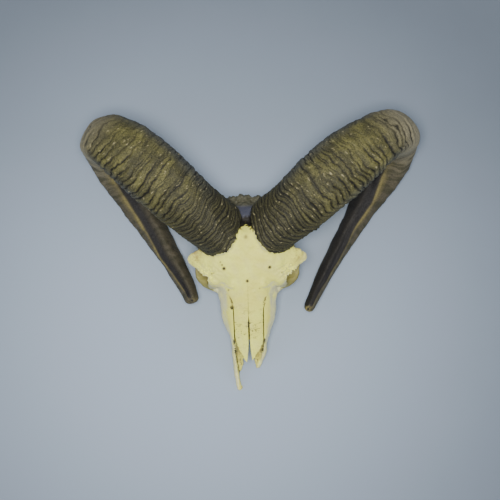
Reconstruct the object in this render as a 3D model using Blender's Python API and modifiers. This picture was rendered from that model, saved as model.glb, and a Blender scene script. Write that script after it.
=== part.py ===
"""Ram skull with both horns, life size, lying on its horns and its muzzle.

The bones are first shaped in the skull's own frame, in millimetres:
x to the animal's left, y back from the tip of the muzzle, z up from the plane
of the cheek teeth. The finished pieces are then tipped nose down onto the
floor, in metres, with +Z up and the muzzle towards -Y.
"""
import math

import bmesh
import bpy
import numpy as np
from mathutils import Matrix

MM = 0.001

# ---- the whole skull -------------------------------------------------------
NOSE_DOWN = math.radians(8.4)      # how far the tooth plane tips when it rests
REST_FLAT = 0.9                    # depth of the flats it rests on
SUTURE = 0.4                       # gap left between neighbouring bones
VOXEL_ROUGH = 1.9                  # grain of the first blend of the forms
VOXEL_FINE = 1.5                   # grain after the hollows are cut
BONE_FACES = 3900                  # triangles kept for all the blended bones

# ---- horns: a flattened spiral for each side -------------------------------
HORN_RINGS = 34
HORN_SIDES = 16
HORN_RISE = 98.0                   # height of the loop's upper half
HORN_RISE_POWER = 0.62             # below 1 flattens the upper limb
HORN_UPPER_TILT = math.radians(10)  # the upper limb climbs away from the base
HORN_DROP_POWER = 0.5              # below 1 flattens the lower limb
HORN_LOWER_TILT = math.radians(12)  # the lower limb climbs towards the tip
HORN_DEPTHS = (34, 34, 30, 24, 16, 9)
HORN_EGG = (-0.27, 0.3)            # how much wider the outer side is: at the rim, further on
HORN_RIM_SKEW = 10.0               # the rim reaches further down the forehead
HORN_RIM_FADE = 0.1                # share of the length over which the rim's shape fades
HORN_TIP_RINGS = 4
HORNS = {
    "horn_left": dict(side=1, outward=45.4, lift=2.0, start=115.7, end=-128.8, drop=80.4,
                      reach=(127.5, 136.0), drift=(36.0, 63.3, -0.1), centre=(67.6, 236.5, 52.0),
                      twist=(-14.8, 11.3), rim_twist=31.7, widths=(33.7, 37.4, 28.0, 27.2, 14.6, 7.0)),
    "horn_right": dict(side=-1, outward=40.8, lift=3.0, start=115.0, end=-144.1, drop=76.9,
                       reach=(129.8, 106.1), drift=(54.3, 36.7, -11.3), centre=(66.0, 237.2, 52.0),
                       twist=(-12.6, 27.0), rim_twist=28.2, widths=(33.7, 36.6, 29.1, 24.4, 16.6, 9.2)),
}
PEDICLE_SHRINK = (0.95, 0.72)      # core of bone, at the horn's rim and deep in the skull
PEDICLE_SINK = (-5.0, -6.0, -32.0)  # from the rim's middle down to the core's root
SHEATH_CLEARANCE = 0.5

# ---- profile of the skull along the midline: y, height of the top ----------
CROWN = ((30, 62), (45, 69.5), (60, 76), (90, 90), (120, 103), (136, 109.5), (150, 115), (165, 120),
         (180, 124.5), (190, 126), (200, 123), (212, 111), (224, 98), (234, 90), (244, 85))

# ---- solid forms cut across by y: y, top, bottom, half width ---------------
FACE = ((50, 48, 16, 18.8), (56, 60, 14, 20.4), (62, 69, 12, 21.6), (70, 78, 10, 23.8), (80, 84, 9, 27.2),
        (92, 90, 9, 31.8), (104, 95, 9, 33.2), (118, 101, 9, 33.8), (130, 106, 10, 35.5),
        (142, 111, 14, 35.0), (152, 115, 24, 30.0))
BRAINCASE = ((146, 113, 66, 22), (160, 118, 48, 24), (175, 123, 40, 29), (190, 126, 37, 34),
             (202, 121, 36, 35.5), (212, 108, 36, 36), (222, 96, 37, 35), (231, 89, 40, 31), (237, 84, 46, 24))
FACE_SQUARENESS = 2.6
BRAINCASE_SQUARENESS = 2.2

# ---- brow shelf over each orbit: x, front y, back y, mid z, thickness ------
BROW = ((0, 138, 196, 108, 24), (24, 136, 196, 107, 22), (38, 135, 190, 103, 19), (47, 138, 185, 99, 15),
        (55, 144, 181, 96, 12.5), (62, 151, 178, 93, 10.5), (68, 158, 174, 91, 9), (71.5, 162, 170, 90, 6.5))
BROW_SLOPE = 0.28                  # the brow climbs towards the horns

# ---- rods: points x, y, z with half width sideways and half height ---------
JUGAL = ((22, 112, 36, 6, 12), (29, 121, 40, 6, 13), (40, 130, 45, 8, 12), (51, 136.5, 48.5, 8.5, 9.5),
         (56.5, 144, 50, 6.5, 8), (58.5, 154, 51, 5, 7), (60, 166, 52, 4.4, 6.5), (59, 178, 53, 4.2, 6),
         (54, 190, 54, 4.2, 6), (44, 198, 55, 5, 7), (32, 202, 56, 7, 9))
LACRIMAL = ((48, 134, 54, 7, 8), (43, 131, 66, 8, 9), (40, 131, 79, 8.5, 9), (38, 134, 91, 8.5, 8),
            (40, 142, 99, 8, 7))
POSTORBITAL = ((67, 166, 91, 3.6, 6), (66.5, 170, 81, 3.6, 5.5), (64.5, 172, 69, 3.6, 6), (60.5, 170, 55, 3.8, 6))
NUCHAL_CREST = ((36, 222, 60, 5, 6), (32, 228, 70, 4, 5), (24, 233.5, 80, 3.6, 4.4), (12, 236.5, 86.5, 3.6, 4.4),
                (0, 237.8, 88.5, 3.8, 4.6))
PARACONDYLE = ((27, 221, 56, 5, 8), (27.5, 226, 44, 4.4, 7), (26.5, 225, 31, 3.4, 6), (24.5, 222, 20, 2.2, 4))
MASTOID = ((24, 218, 52, 9, 12), (33, 216, 53, 7, 9), (40, 212, 54, 4.5, 5.5))
SKULL_BASE = ((0, 234, 44, 12, 7), (0, 218, 40, 14, 6), (0, 200, 38, 12, 6), (0, 178, 38, 9, 6), (0, 158, 44, 8, 12))
PTERYGOID = ((13, 141, 20, 2.6, 9), (12.5, 154, 25, 2.4, 12), (11.5, 168, 30, 2.2, 11), (10.5, 180, 36, 2.2, 7))
ORBIT_WALL = ((17, 138, 74, 14, 34), (16, 154, 78, 10, 32), (18, 172, 80, 12, 34))

# ---- rounded masses: centre and half sizes ---------------------------------
CONDYLE = ((12.5, 231.5, 45), (8.5, 8.5, 11))
BULLA = ((20, 207, 33), (8, 11, 9))
CHEEK = ((24, 122, 58), (12, 14, 28))
BRAIN_DOME = ((0, 203, 76), (36, 33, 38))

# ---- premaxillae: the right one is whole, the left one is broken short -----
PREMAXILLA_RIM = ((19, 66, 50, 2.6, 12), (18.8, 54, 38, 2.6, 12), (18.4, 42, 28, 2.5, 9.5), (17.4, 30, 21, 2.6, 7.5),
                  (15.8, 17, 16, 2.7, 5.5), (14.2, 6, 12.5, 2.7, 4.4), (13, 1, 11, 3.1, 4))
PREMAXILLA_FLOOR = ((13, 66, 17, 7, 2.4), (14, 50, 16, 5, 2.2), (14, 36, 14.5, 4, 2.0), (13.5, 24, 13, 2.6, 1.8))
BROKEN_RIM = ((19, 66, 50, 2.6, 12), (18.6, 54, 37, 2.6, 10), (16, 44, 27, 2.4, 8), (12.5, 35, 20, 2.0, 5),
              (10.4, 29.5, 17, 1.5, 2.4))
BROKEN_FLOOR = ((13, 66, 17, 7, 2.4), (13, 50, 16, 5, 2.2), (11.5, 38, 15.5, 3, 2.0), (10.4, 30.5, 16, 1.4, 1.5))

# ---- cheek teeth: length along the row, width, starting at TOOTH_ROW_FRONT --
TOOTH_ROW_FRONT = 68.0
TEETH = ((8, 8), (10, 9.5), (10.5, 11), (13, 12), (16.5, 12.5), (19, 11.5))
TOOTH_ROW = ((68, 16.2), (84, 20.3), (95, 22.6), (110, 24.2), (125, 24.8), (146, 24.0))
TOOTH_HEIGHT = 17.0
TOOTH_EDGE = 1.6                   # the worn crowns stop just short of the tooth plane

# ---- hollows ---------------------------------------------------------------
ORBIT = ((55, 152, 70.5), (27, 18.5, 18))
NASAL_CAVITY = ((36, 90, 19, 11), (44, 90, 19, 13.5), (54, 90, 19, 15.2), (62, 74, 19, 16.4), (80, 74, 19, 17.5), (96, 80, 19, 18),
                (112, 84, 24, 14), (122, 80, 36, 7))
PALATE_VAULT = ((40, 11, -12, 12), (60, 11, -12, 11), (80, 14, -12, 13), (110, 15, -12, 15.5), (140, 15, -12, 15),
                (158, 18, -12, 13))
CHOANA = ((138, 30, -8, 9), (150, 36, -8, 9.6), (166, 34, -8, 9), (176, 31, -8, 7.5))
FORAMEN_MAGNUM = ((0, 222, 57, 8.5, 8), (0, 231, 56, 9.5, 9), (0, 254, 54, 13, 12))
INCISIVE_GAP = ((-8, 60, -12, 7.2), (48, 60, -12, 6.4), (62, 60, -12, 4.5), (72, 40, -12, 1.5))

# ---- nasal bones: y, inner edge, outer edge --------------------------------
NASALS = ((37.5, 3.0, 5.4), (42, 2.6, 8.2), (50, 1.9, 12.6), (58, 1.1, 15.8), (64, 0.7, 17.0), (84, 0.25, 17.2),
          (104, 0.25, 17.6), (112, 0.25, 19.5), (118, 0.25, 19.0), (126, 0.25, 12.0), (133, 0.25, 5.5),
          (137.5, 0.25, 2.0))
NASAL_THICKNESS = 3.0
NASAL_DROOP = 4.2                  # the roof falls away from the midline
NASAL_SLOT = 0.8                   # gap between nasal bone and its neighbours

# ---- seams: where the blended skull is parted into its bones ---------------
FRONTAL_SEAM = ((170, -14), (153, -4), (149, 15), (128, 27), (124, 66.2))
FRONTAL_SEAM_TOP = ((124, 66), (136.5, 112), (140, 140))
PREMAXILLA_SEAM = ((47, -14), (50, 14), (58, 44), (66, 90))
LAMBDOID_SEAM = ((213, -10), (216, 34), (224, 70), (228, 130))
ZYGOMATIC_CASE = ((40.5, 104.0, 28.0), (104.0, 184.0, 66.0))

# ---- colours (linear) and finish -------------------------------------------
BONE_COLOUR = (0.70, 0.65, 0.45, 1)
JUGAL_COLOUR = (0.42, 0.32, 0.14, 1)
HORN_COLOUR = (0.075, 0.062, 0.034, 1)
BONE_ROUGHNESS = 0.62
HORN_ROUGHNESS = 0.55


def smooth_table(rows, at):
    """Values of a table's columns at the places asked for, on a smooth monotone curve."""
    rows = np.array(rows, float)
    key, columns = rows[:, 0], rows[:, 1:]
    step = np.diff(key)[:, None]
    slope = np.diff(columns, axis=0) / step
    tangent = np.zeros_like(columns)
    same_way = slope[:-1] * slope[1:] > 0
    total = np.where(same_way, slope[:-1] + slope[1:], 1.0)
    tangent[1:-1] = np.where(same_way, 2 * slope[:-1] * slope[1:] / total, 0.0)
    tangent[0], tangent[-1] = slope[0], slope[-1]
    index = np.clip(np.searchsorted(key, at) - 1, 0, len(key) - 2)
    width = step[index]
    t = (np.asarray(at, float)[:, None] - key[index][:, None]) / width
    rise = t * t * (3 - 2 * t)
    return (columns[index] * (1 - rise) + columns[index + 1] * rise
            + width * t * (1 - t) * (tangent[index] * (1 - t) - tangent[index + 1] * t))


def rounded_outline(sides, squareness):
    """Unit outline between an ellipse (2) and a box (large), as x and z columns."""
    angle = np.linspace(0, 2 * math.pi, sides, endpoint=False)
    power = 2 / squareness
    x = np.sign(np.cos(angle)) * np.abs(np.cos(angle)) ** power
    z = np.sign(np.sin(angle)) * np.abs(np.sin(angle)) ** power
    return x, z


def closed_loft(rings):
    """Mesh data of a loft through rings of points, closed by a point at each end."""
    count, sides = rings.shape[:2]
    points = np.vstack([rings.reshape(-1, 3), rings[0].mean(0), rings[-1].mean(0)])
    faces = []
    for i in range(count - 1):
        for j in range(sides):
            k = (j + 1) % sides
            faces.append((i * sides + j, i * sides + k, (i + 1) * sides + k, (i + 1) * sides + j))
    first, last = count * sides, count * sides + 1
    for j in range(sides):
        k = (j + 1) % sides
        faces.append((first, k, j))
        faces.append((last, (count - 1) * sides + j, (count - 1) * sides + k))
    return points, faces


def make_object(name, points, faces, collection, outwards=True):
    """Object from mesh data in millimetres, with its faces turned outwards if asked."""
    mesh = bpy.data.meshes.new(name)
    mesh.from_pydata([tuple(p) for p in np.asarray(points) * MM], [], faces)
    if outwards:
        shell = bmesh.new()
        shell.from_mesh(mesh)
        bmesh.ops.recalc_face_normals(shell, faces=shell.faces)
        shell.to_mesh(mesh)
        shell.free()
    made = bpy.data.objects.new(name, mesh)
    collection.objects.link(made)
    return made


def slices(rows, squareness, side=0, count=26, sides=28):
    """Loft of upright slices: rows give y, top, bottom and half width."""
    at = np.linspace(rows[0][0], rows[-1][0], count)
    top, bottom, half = smooth_table(rows, at).T
    x, z = rounded_outline(sides, squareness)
    rings = np.empty((count, sides, 3))
    rings[..., 0] = half[:, None] * x + side
    rings[..., 1] = at[:, None]
    rings[..., 2] = ((top + bottom) / 2)[:, None] + ((top - bottom) / 2)[:, None] * z
    return closed_loft(rings)


def rod(rows, side, steps=4, sides=14):
    """Rod through points, oval across: rows give x, y, z, half width and half height."""
    rows = np.array(rows, float)
    length = np.concatenate([[0], np.cumsum(np.linalg.norm(np.diff(rows[:, :3], axis=0), axis=1))])
    at = np.linspace(0, length[-1], steps * (len(rows) - 1) + 1)
    values = smooth_table(np.column_stack([length, rows]), at)
    centre, half_width, half_height = values[:, :3], values[:, 3], values[:, 4]
    along = np.gradient(centre, axis=0)
    along /= np.linalg.norm(along, axis=1)[:, None]
    upright = np.array([0.0, 0.0, 1.0]) - along[:, 2:3] * along
    steep = np.linalg.norm(upright, axis=1) < 0.5
    upright[steep] = np.array([0.0, 1.0, 0.0]) - along[steep, 1:2] * along[steep]
    upright /= np.linalg.norm(upright, axis=1)[:, None]
    across = np.cross(along, upright)
    angle = np.linspace(0, 2 * math.pi, sides, endpoint=False)
    rings = (centre[:, None] + (half_width[:, None] * np.cos(angle))[..., None] * across[:, None]
             + (half_height[:, None] * np.sin(angle))[..., None] * upright[:, None])
    rings[..., 0] *= side
    return closed_loft(rings)


def ball(shape, side, rings=14, sides=18):
    """Rounded mass: centre and half sizes, as stacked rings."""
    centre, half = (np.array(part, float) for part in shape)
    polar = np.linspace(0.06, math.pi - 0.06, rings)
    angle = np.linspace(0, 2 * math.pi, sides, endpoint=False)
    points = np.stack(np.broadcast_arrays(np.sin(polar)[:, None] * np.cos(angle),
                                          np.sin(polar)[:, None] * np.sin(angle),
                                          np.cos(polar)[:, None] * np.ones(sides)), axis=-1)
    points = centre + points * half
    points[..., 0] *= side
    return closed_loft(points)


def brow_shelf(side):
    """Shelf of the frontal bone over one orbit, lofted outwards from the midline."""
    at = np.linspace(BROW[0][0], BROW[-1][0], 26)
    front, back, middle, thickness = smooth_table(BROW, at).T
    along, up = rounded_outline(26, 2.4)
    rings = np.empty((len(at), 26, 3))
    rings[..., 0] = at[:, None] * side
    offset = ((back - front) / 2)[:, None] * along
    rings[..., 1] = ((front + back) / 2)[:, None] + offset
    rings[..., 2] = middle[:, None] + BROW_SLOPE * offset + (thickness / 2)[:, None] * up
    return closed_loft(rings)


def cheek_teeth(side):
    """Cheek teeth of one side: a lobed block for each tooth, molars with two lobes."""
    made = []
    start = TOOTH_ROW_FRONT
    for length, width in TEETH:
        lobes = 1 if length < 11 else 2
        lobe_length = length / lobes
        for lobe in range(lobes):
            y = start + (lobe + 0.5) * lobe_length
            x = smooth_table(TOOTH_ROW, [y])[0, 0]
            half = lobe_length / 2 + 0.2
            rows = ((x, y, TOOTH_HEIGHT, width / 2, half), (x, y, 3, width / 2, half),
                    (x, y, TOOTH_EDGE, width / 2 - 0.8, half - 0.5))
            made.append(rod(rows, side, steps=3))
        start += length
    return made


def rim_share(s):
    """How much of the rim's own shape is left at a place along the horn."""
    return np.exp(-(s / HORN_RIM_FADE) ** 2)


def horn_path(shape, count):
    """Centre line of a horn and its two cross directions, before mirroring."""
    turn = math.radians(shape["outward"])
    lift = math.radians(shape["lift"])
    out = np.array([math.cos(turn) * math.cos(lift), -math.sin(turn) * math.cos(lift), math.sin(lift)])
    back = np.array([math.sin(turn), math.cos(turn), 0.0])
    s = np.linspace(0, 1, count)
    phase = np.radians(shape["start"] + (shape["end"] - shape["start"]) * s)
    reach = shape["reach"][0] + (shape["reach"][1] - shape["reach"][0]) * s
    first, second, third = shape["drift"]
    drift = first * s + second * s ** 2 + third * s ** 3
    swing = reach * np.cos(phase)
    wave = np.abs(np.sin(phase))
    upper = HORN_RISE * wave ** HORN_RISE_POWER - math.tan(HORN_UPPER_TILT) * (reach - swing)
    lower = -shape["drop"] * wave ** HORN_DROP_POWER + math.tan(HORN_LOWER_TILT) * (reach - swing)
    height = np.where(phase > 0, upper, lower)
    path = np.array(shape["centre"]) + swing[:, None] * back + drift[:, None] * out
    path[:, 2] += height
    along = np.gradient(path, axis=0)
    along /= np.linalg.norm(along, axis=1)[:, None]
    outer = np.cos(phase)[:, None] * back + np.sin(phase)[:, None] * np.array([0.0, 0.0, 1.0])
    outer -= (outer * along).sum(1)[:, None] * along
    outer /= np.linalg.norm(outer, axis=1)[:, None]
    flank = np.cross(along, outer)
    if flank[0] @ out < 0:
        flank = -flank
    twist = shape["twist"][0] + (shape["twist"][1] - shape["twist"][0]) * s
    twist = np.radians(twist + shape["rim_twist"] * rim_share(s))[:, None]
    return (s, path, along, np.cos(twist) * outer + np.sin(twist) * flank,
            np.cos(twist) * flank - np.sin(twist) * outer)


def horn_rings(shape, grow=0.0, count=HORN_RINGS, sides=HORN_SIDES):
    """Rings of a horn from its rim to its blunt tip, grown by a clearance if asked."""
    s, path, along, outer, flank = horn_path(shape, count)
    fifths = np.linspace(0, 1, len(shape["widths"]))
    half_width = smooth_table(np.column_stack([fifths, shape["widths"]]), s)[:, 0] + grow
    half_depth = smooth_table(np.column_stack([fifths, HORN_DEPTHS]), s)[:, 0] + grow
    cap = np.linspace(0, 1, HORN_TIP_RINGS + 1)[1:]
    path = np.vstack([path, path[-1] + (cap * half_depth[-1])[:, None] * along[-1]])
    shrink = np.sqrt(np.clip(1 - (0.94 * cap) ** 2, 0, 1))
    half_width = np.concatenate([half_width, half_width[-1] * shrink])
    half_depth = np.concatenate([half_depth, half_depth[-1] * shrink])
    outer = np.vstack([outer, np.repeat(outer[-1:], HORN_TIP_RINGS, 0)])
    flank = np.vstack([flank, np.repeat(flank[-1:], HORN_TIP_RINGS, 0)])
    along = np.vstack([along, np.repeat(along[-1:], HORN_TIP_RINGS, 0)])
    rim = rim_share(np.concatenate([s, np.ones(HORN_TIP_RINGS)]))[:, None]
    egg = HORN_EGG[1] + (HORN_EGG[0] - HORN_EGG[1]) * rim
    angle = np.linspace(0, 2 * math.pi, sides, endpoint=False)
    depth = half_depth[:, None] * np.cos(angle)
    width = half_width[:, None] * np.sin(angle) * (1 + egg * np.cos(angle))
    rings = path[:, None] + depth[..., None] * outer[:, None] + width[..., None] * flank[:, None]
    rings -= (HORN_RIM_SKEW * rim * np.cos(angle))[..., None] * along[:, None]
    rings[..., 0] *= shape["side"]
    return rings


def pedicle(shape):
    """Bony core that carries a horn, from inside the forehead to the horn's rim."""
    rim = horn_rings(shape)[0]
    centre = rim.mean(0)
    sink = np.array(PEDICLE_SINK) * (shape["side"], 1, 1)
    start, end = PEDICLE_SHRINK
    depths = np.linspace(0, 1, 7)
    return closed_loft(np.array([centre + (rim - centre) * (start + (end - start) * depth) + sink * depth
                                 for depth in depths]))


def sheath_room(shape):
    """Space kept free for a horn's rim, so that the core stops just under it."""
    rings = horn_rings(shape, grow=SHEATH_CLEARANCE)[:14]
    inward = rings[0].mean(0) - rings[1].mean(0)
    inward /= np.linalg.norm(inward)
    rings[0] += inward * SUTURE
    return closed_loft(rings)


def sheet(path, thickness, half_width):
    """Thin upright sheet that follows a path in y and z, as wide as asked across x."""
    path = np.array(path, float)
    along = np.gradient(path, axis=0)
    along /= np.linalg.norm(along, axis=1)[:, None]
    offset = np.column_stack([-along[:, 1], along[:, 0]]) * thickness / 2
    outline = np.vstack([path + offset, (path - offset)[::-1]])
    return prism(outline, -half_width, half_width)


def prism(outline, low, high):
    """Outline in y and z carried straight from x low to x high, with its faces outwards."""
    count = len(outline)
    turn = sum(y0 * z1 - y1 * z0 for (y0, z0), (y1, z1) in zip(outline, list(outline[1:]) + [outline[0]]))
    if turn < 0:
        outline = list(outline)[::-1]
    points = [(x, y, z) for x in (low, high) for y, z in outline]
    faces = [tuple(range(count - 1, -1, -1)), tuple(range(count, 2 * count))]
    for i in range(count):
        j = (i + 1) % count
        faces.append((i, j, count + j, count + i))
    return points, faces


def nasal_bone(side):
    """One nasal bone: an arched plate from its free tip to the forehead."""
    at = np.linspace(NASALS[0][0], NASALS[-1][0], 20)
    inner, outer = smooth_table(NASALS, at).T
    crown = smooth_table(CROWN, at)[:, 0]
    across = np.array([0.0, 0.34, 0.7, 1.0])
    x = inner[:, None] + (outer - inner)[:, None] * across
    top = crown[:, None] - NASAL_DROOP * (x / NASALS[5][2]) ** 2
    edge = np.array([0.0, 0.0, 0.0, 0.5])
    bottom = top - NASAL_THICKNESS + edge
    upper = np.stack([x, np.broadcast_to(at[:, None], x.shape), top], axis=-1)
    under = np.stack([x, np.broadcast_to(at[:, None], x.shape), bottom], axis=-1)[:, ::-1]
    rings = np.concatenate([upper, under], axis=1)
    rings[..., 0] *= side
    return closed_loft(rings)


def nasal_slot():
    """Space kept free for both nasal bones, up through the roof of the face."""
    at = np.linspace(NASALS[0][0] - 8, NASALS[-1][0], 30)
    outer = smooth_table(NASALS, np.clip(at, NASALS[0][0] + 22, None))[:, 1] + NASAL_SLOT
    crown = smooth_table(CROWN, at)[:, 0]
    x = np.array([-1.0, -0.5, 0.0, 0.5, 1.0])
    wide = outer[:, None] * x
    droop = NASAL_DROOP * (wide / NASALS[5][2]) ** 2
    floor = crown[:, None] - droop - NASAL_THICKNESS - NASAL_SLOT
    roof = crown[:, None] + 14 + 0 * wide
    y = np.broadcast_to(at[:, None], wide.shape)
    low = np.stack([wide, y, floor], axis=-1)
    high = np.stack([wide, y, roof], axis=-1)[:, ::-1]
    return closed_loft(np.concatenate([low, high], axis=1))


def hollow_case(low, high, wall, side):
    """Thin-walled closed case: a box with a smaller box, turned inside out, within it."""
    points, faces = [], []
    for inset, flip in ((0.0, side < 0), (wall, side > 0)):
        x0, y0, z0 = (value + inset for value in low)
        x1, y1, z1 = (value - inset for value in high)
        outline = [(y0, z0), (y1, z0), (y1, z1), (y0, z1)]
        box_points, box_faces = prism(outline, x0, x1)
        start = len(points)
        points += [(side * x, y, z) for x, y, z in box_points]
        for face in box_faces:
            ordered = face[::-1] if flip else face
            faces.append(tuple(start + i for i in ordered))
    return points, faces


def evaluated_mesh(made):
    """Mesh of an object with its modifiers applied."""
    bpy.context.view_layer.update()
    graph = bpy.context.evaluated_depsgraph_get()
    return bpy.data.meshes.new_from_object(made.evaluated_get(graph))


def settle(made):
    """Apply an object's modifiers to its mesh."""
    mesh = evaluated_mesh(made)
    made.modifiers.clear()
    made.data = mesh


def blend(made, voxel, smoothing):
    """Melt overlapping forms into one skin and soften it."""
    melt = made.modifiers.new("melt", "REMESH")
    melt.mode = "VOXEL"
    melt.voxel_size = voxel * MM
    soften = made.modifiers.new("soften", "SMOOTH")
    soften.factor = 0.5
    soften.iterations = smoothing
    settle(made)


def cut(made, cutters):
    """Take cutters out of a solid, one after another."""
    for cutter in cutters:
        cutter.hide_render = True
        cutter.display_type = "WIRE"
        take = made.modifiers.new("cut", "BOOLEAN")
        take.operation = "DIFFERENCE"
        take.solver = "EXACT"
        take.object = cutter
    settle(made)


def thin_out(made, faces):
    """Bring a solid down to about the number of triangles asked for."""
    flat = made.modifiers.new("triangles", "TRIANGULATE")
    flat.quad_method = "BEAUTY"
    count = sum(len(face.vertices) - 2 for face in made.data.polygons)
    fewer = made.modifiers.new("fewer", "DECIMATE")
    fewer.ratio = faces / count
    settle(made)


def joined_object(name, shapes, collection):
    """One object that holds several shapes' mesh data."""
    points, faces = [], []
    for shape_points, shape_faces in shapes:
        start = len(points)
        points += [tuple(p) for p in shape_points]
        faces += [tuple(start + i for i in face) for face in shape_faces]
    return make_object(name, points, faces, collection)


def skull_forms():
    """All the solid forms that melt into the skull's bones."""
    forms = [slices(FACE, FACE_SQUARENESS), slices(BRAINCASE, BRAINCASE_SQUARENESS),
             ball(BRAIN_DOME, 1), rod(SKULL_BASE, 1)]
    for side in (1, -1):
        forms.append(brow_shelf(side))
        for rows in (JUGAL, LACRIMAL, POSTORBITAL, NUCHAL_CREST, PARACONDYLE, MASTOID, PTERYGOID, ORBIT_WALL):
            forms.append(rod(rows, side))
        for shape in (CONDYLE, BULLA, CHEEK):
            forms.append(ball(shape, side))
    forms += [rod(PREMAXILLA_RIM, -1), rod(PREMAXILLA_FLOOR, -1), rod(BROKEN_RIM, 1), rod(BROKEN_FLOOR, 1)]
    forms += [pedicle(shape) for shape in HORNS.values()]
    return forms


def tooth_forms():
    """Cheek teeth of both sides, which melt into the jaws after the vault is cut."""
    return cheek_teeth(1) + cheek_teeth(-1)


def skull_hollows():
    """Orbits, nose, palate, back of the palate, incisive gap and spinal opening."""
    hollows = [slices(NASAL_CAVITY, 2.6), slices(PALATE_VAULT, 2.4), slices(CHOANA, 2.4),
               slices(INCISIVE_GAP, 3.0), rod(FORAMEN_MAGNUM, 1)]
    for side in (1, -1):
        hollows.append(ball(ORBIT, side, rings=20, sides=24))
    return hollows


def seam_cutters(collection):
    """Thin sheets that part the skull into its bones."""
    far = 100.0
    front_of_seam = list(FRONTAL_SEAM) + list(FRONTAL_SEAM_TOP[1:]) + [(-20, 140), (-20, -14)]
    shapes = [sheet(FRONTAL_SEAM, SUTURE, ZYGOMATIC_CASE[0][0] + SUTURE / 2),
              sheet(FRONTAL_SEAM_TOP, SUTURE, far), sheet(LAMBDOID_SEAM, SUTURE, far),
              sheet(PREMAXILLA_SEAM, SUTURE, far), prism(front_of_seam, -SUTURE / 2, SUTURE / 2)]
    shapes += [hollow_case(*ZYGOMATIC_CASE, SUTURE, side) for side in (1, -1)]
    return [make_object("seam_cutter", *shape, collection, outwards=False) for shape in shapes]


def bone_name(mesh):
    """Name of the bone that a parted piece is, from where its middle lies."""
    points = np.array([tuple(v.co) for v in mesh.vertices]) / MM
    x, y, z = points.mean(0)
    side = "left" if x > 0 else "right"
    if points[:, 1].max() < 68:
        return "premaxilla_" + side
    if abs(x) > 45:
        return "zygomatic_" + side
    if y > 225:
        return "occipital"
    if y > 140 and abs(x) < 6:
        return "cranium"
    return "maxilla_" + side


def loose_pieces(made):
    """Meshes of an object's separate bodies, as vertex and face lists in millimetres."""
    shell = bmesh.new()
    shell.from_mesh(made.data)
    unseen = set(shell.verts)
    pieces = []
    while unseen:
        reached = {unseen.pop()}
        edge_of_search = list(reached)
        while edge_of_search:
            vertex = edge_of_search.pop()
            for edge in vertex.link_edges:
                other = edge.other_vert(vertex)
                if other in unseen:
                    unseen.discard(other)
                    reached.add(other)
                    edge_of_search.append(other)
        order = sorted(reached, key=lambda v: v.index)
        number = {vertex: i for i, vertex in enumerate(order)}
        faces = [tuple(number[v] for v in face.verts) for face in shell.faces if face.verts[0] in reached]
        pieces.append((np.array([tuple(v.co) for v in order]) / MM, faces))
    shell.free()
    return pieces


def build_skull(collection, cutters):
    """Shape the whole skull, then part it into its bones by thin seams."""
    blank = joined_object("skull_blank", skull_forms(), cutters)
    blend(blank, VOXEL_ROUGH, 2)
    cut(blank, [make_object("hollow_cutter", *shape, cutters) for shape in skull_hollows()])
    teeth = joined_object("teeth", tooth_forms(), cutters)
    both = bmesh.new()
    both.from_mesh(blank.data)
    both.from_mesh(teeth.data)
    both.to_mesh(blank.data)
    both.free()
    blend(blank, VOXEL_FINE, 3)
    thin_out(blank, BONE_FACES)
    rooms = [make_object("sheath_cutter", *sheath_room(shape), cutters) for shape in HORNS.values()]
    rooms.append(make_object("nasal_cutter", *nasal_slot(), cutters))
    cut(blank, rooms + seam_cutters(cutters))
    bones = []
    for points, faces in loose_pieces(blank):
        if len(faces) < 60:
            continue
        bone = make_object("bone", points, faces, collection)
        bone.name = bone_name(bone.data)
        bones.append(bone)
    for side, name in ((1, "nasal_left"), (-1, "nasal_right")):
        bones.append(make_object(name, *nasal_bone(side), collection))
    return bones


def finish_material(name, colour, roughness):
    """Plain surface with a colour and a roughness."""
    material = bpy.data.materials.new(name)
    material.use_nodes = True
    shader = material.node_tree.nodes["Principled BSDF"]
    shader.inputs["Base Color"].default_value = colour
    shader.inputs["Roughness"].default_value = roughness
    shader.inputs["Metallic"].default_value = 0.0
    material.diffuse_color = colour
    return material


def rest_on_floor(pieces):
    """Tip the pieces nose down, flatten what touches, and centre them over the origin."""
    tip = Matrix.Rotation(NOSE_DOWN, 4, "X")
    for piece in pieces:
        piece.data.transform(tip)
    lowest = {piece.name: min(v.co.z for v in piece.data.vertices) for piece in pieces}
    contacts = ("horn_left", "horn_right", "premaxilla_right")
    floor = max(lowest[name] for name in contacts) + REST_FLAT * MM
    print("lowest points", {name: round((lowest[name] - floor) / MM, 2) for name in contacts})
    for piece in pieces:
        if lowest[piece.name] < floor:
            shell = bmesh.new()
            shell.from_mesh(piece.data)
            cells = shell.verts[:] + shell.edges[:] + shell.faces[:]
            sliced = bmesh.ops.bisect_plane(shell, geom=cells, plane_co=(0, 0, floor), plane_no=(0, 0, -1),
                                            clear_outer=True)
            rim = [part for part in sliced["geom_cut"] if isinstance(part, bmesh.types.BMEdge)]
            bmesh.ops.holes_fill(shell, edges=rim, sides=0)
            bmesh.ops.recalc_face_normals(shell, faces=shell.faces)
            shell.to_mesh(piece.data)
            shell.free()
    points = np.array([tuple(v.co) for piece in pieces for v in piece.data.vertices])
    centre = (points.min(0) + points.max(0)) / 2
    move = Matrix.Translation((-centre[0], -centre[1], -floor))
    for piece in pieces:
        piece.data.transform(move)
    print("shift in millimetres", [round(value / MM, 2) for value in (-centre[0], -centre[1], -floor)])


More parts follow.
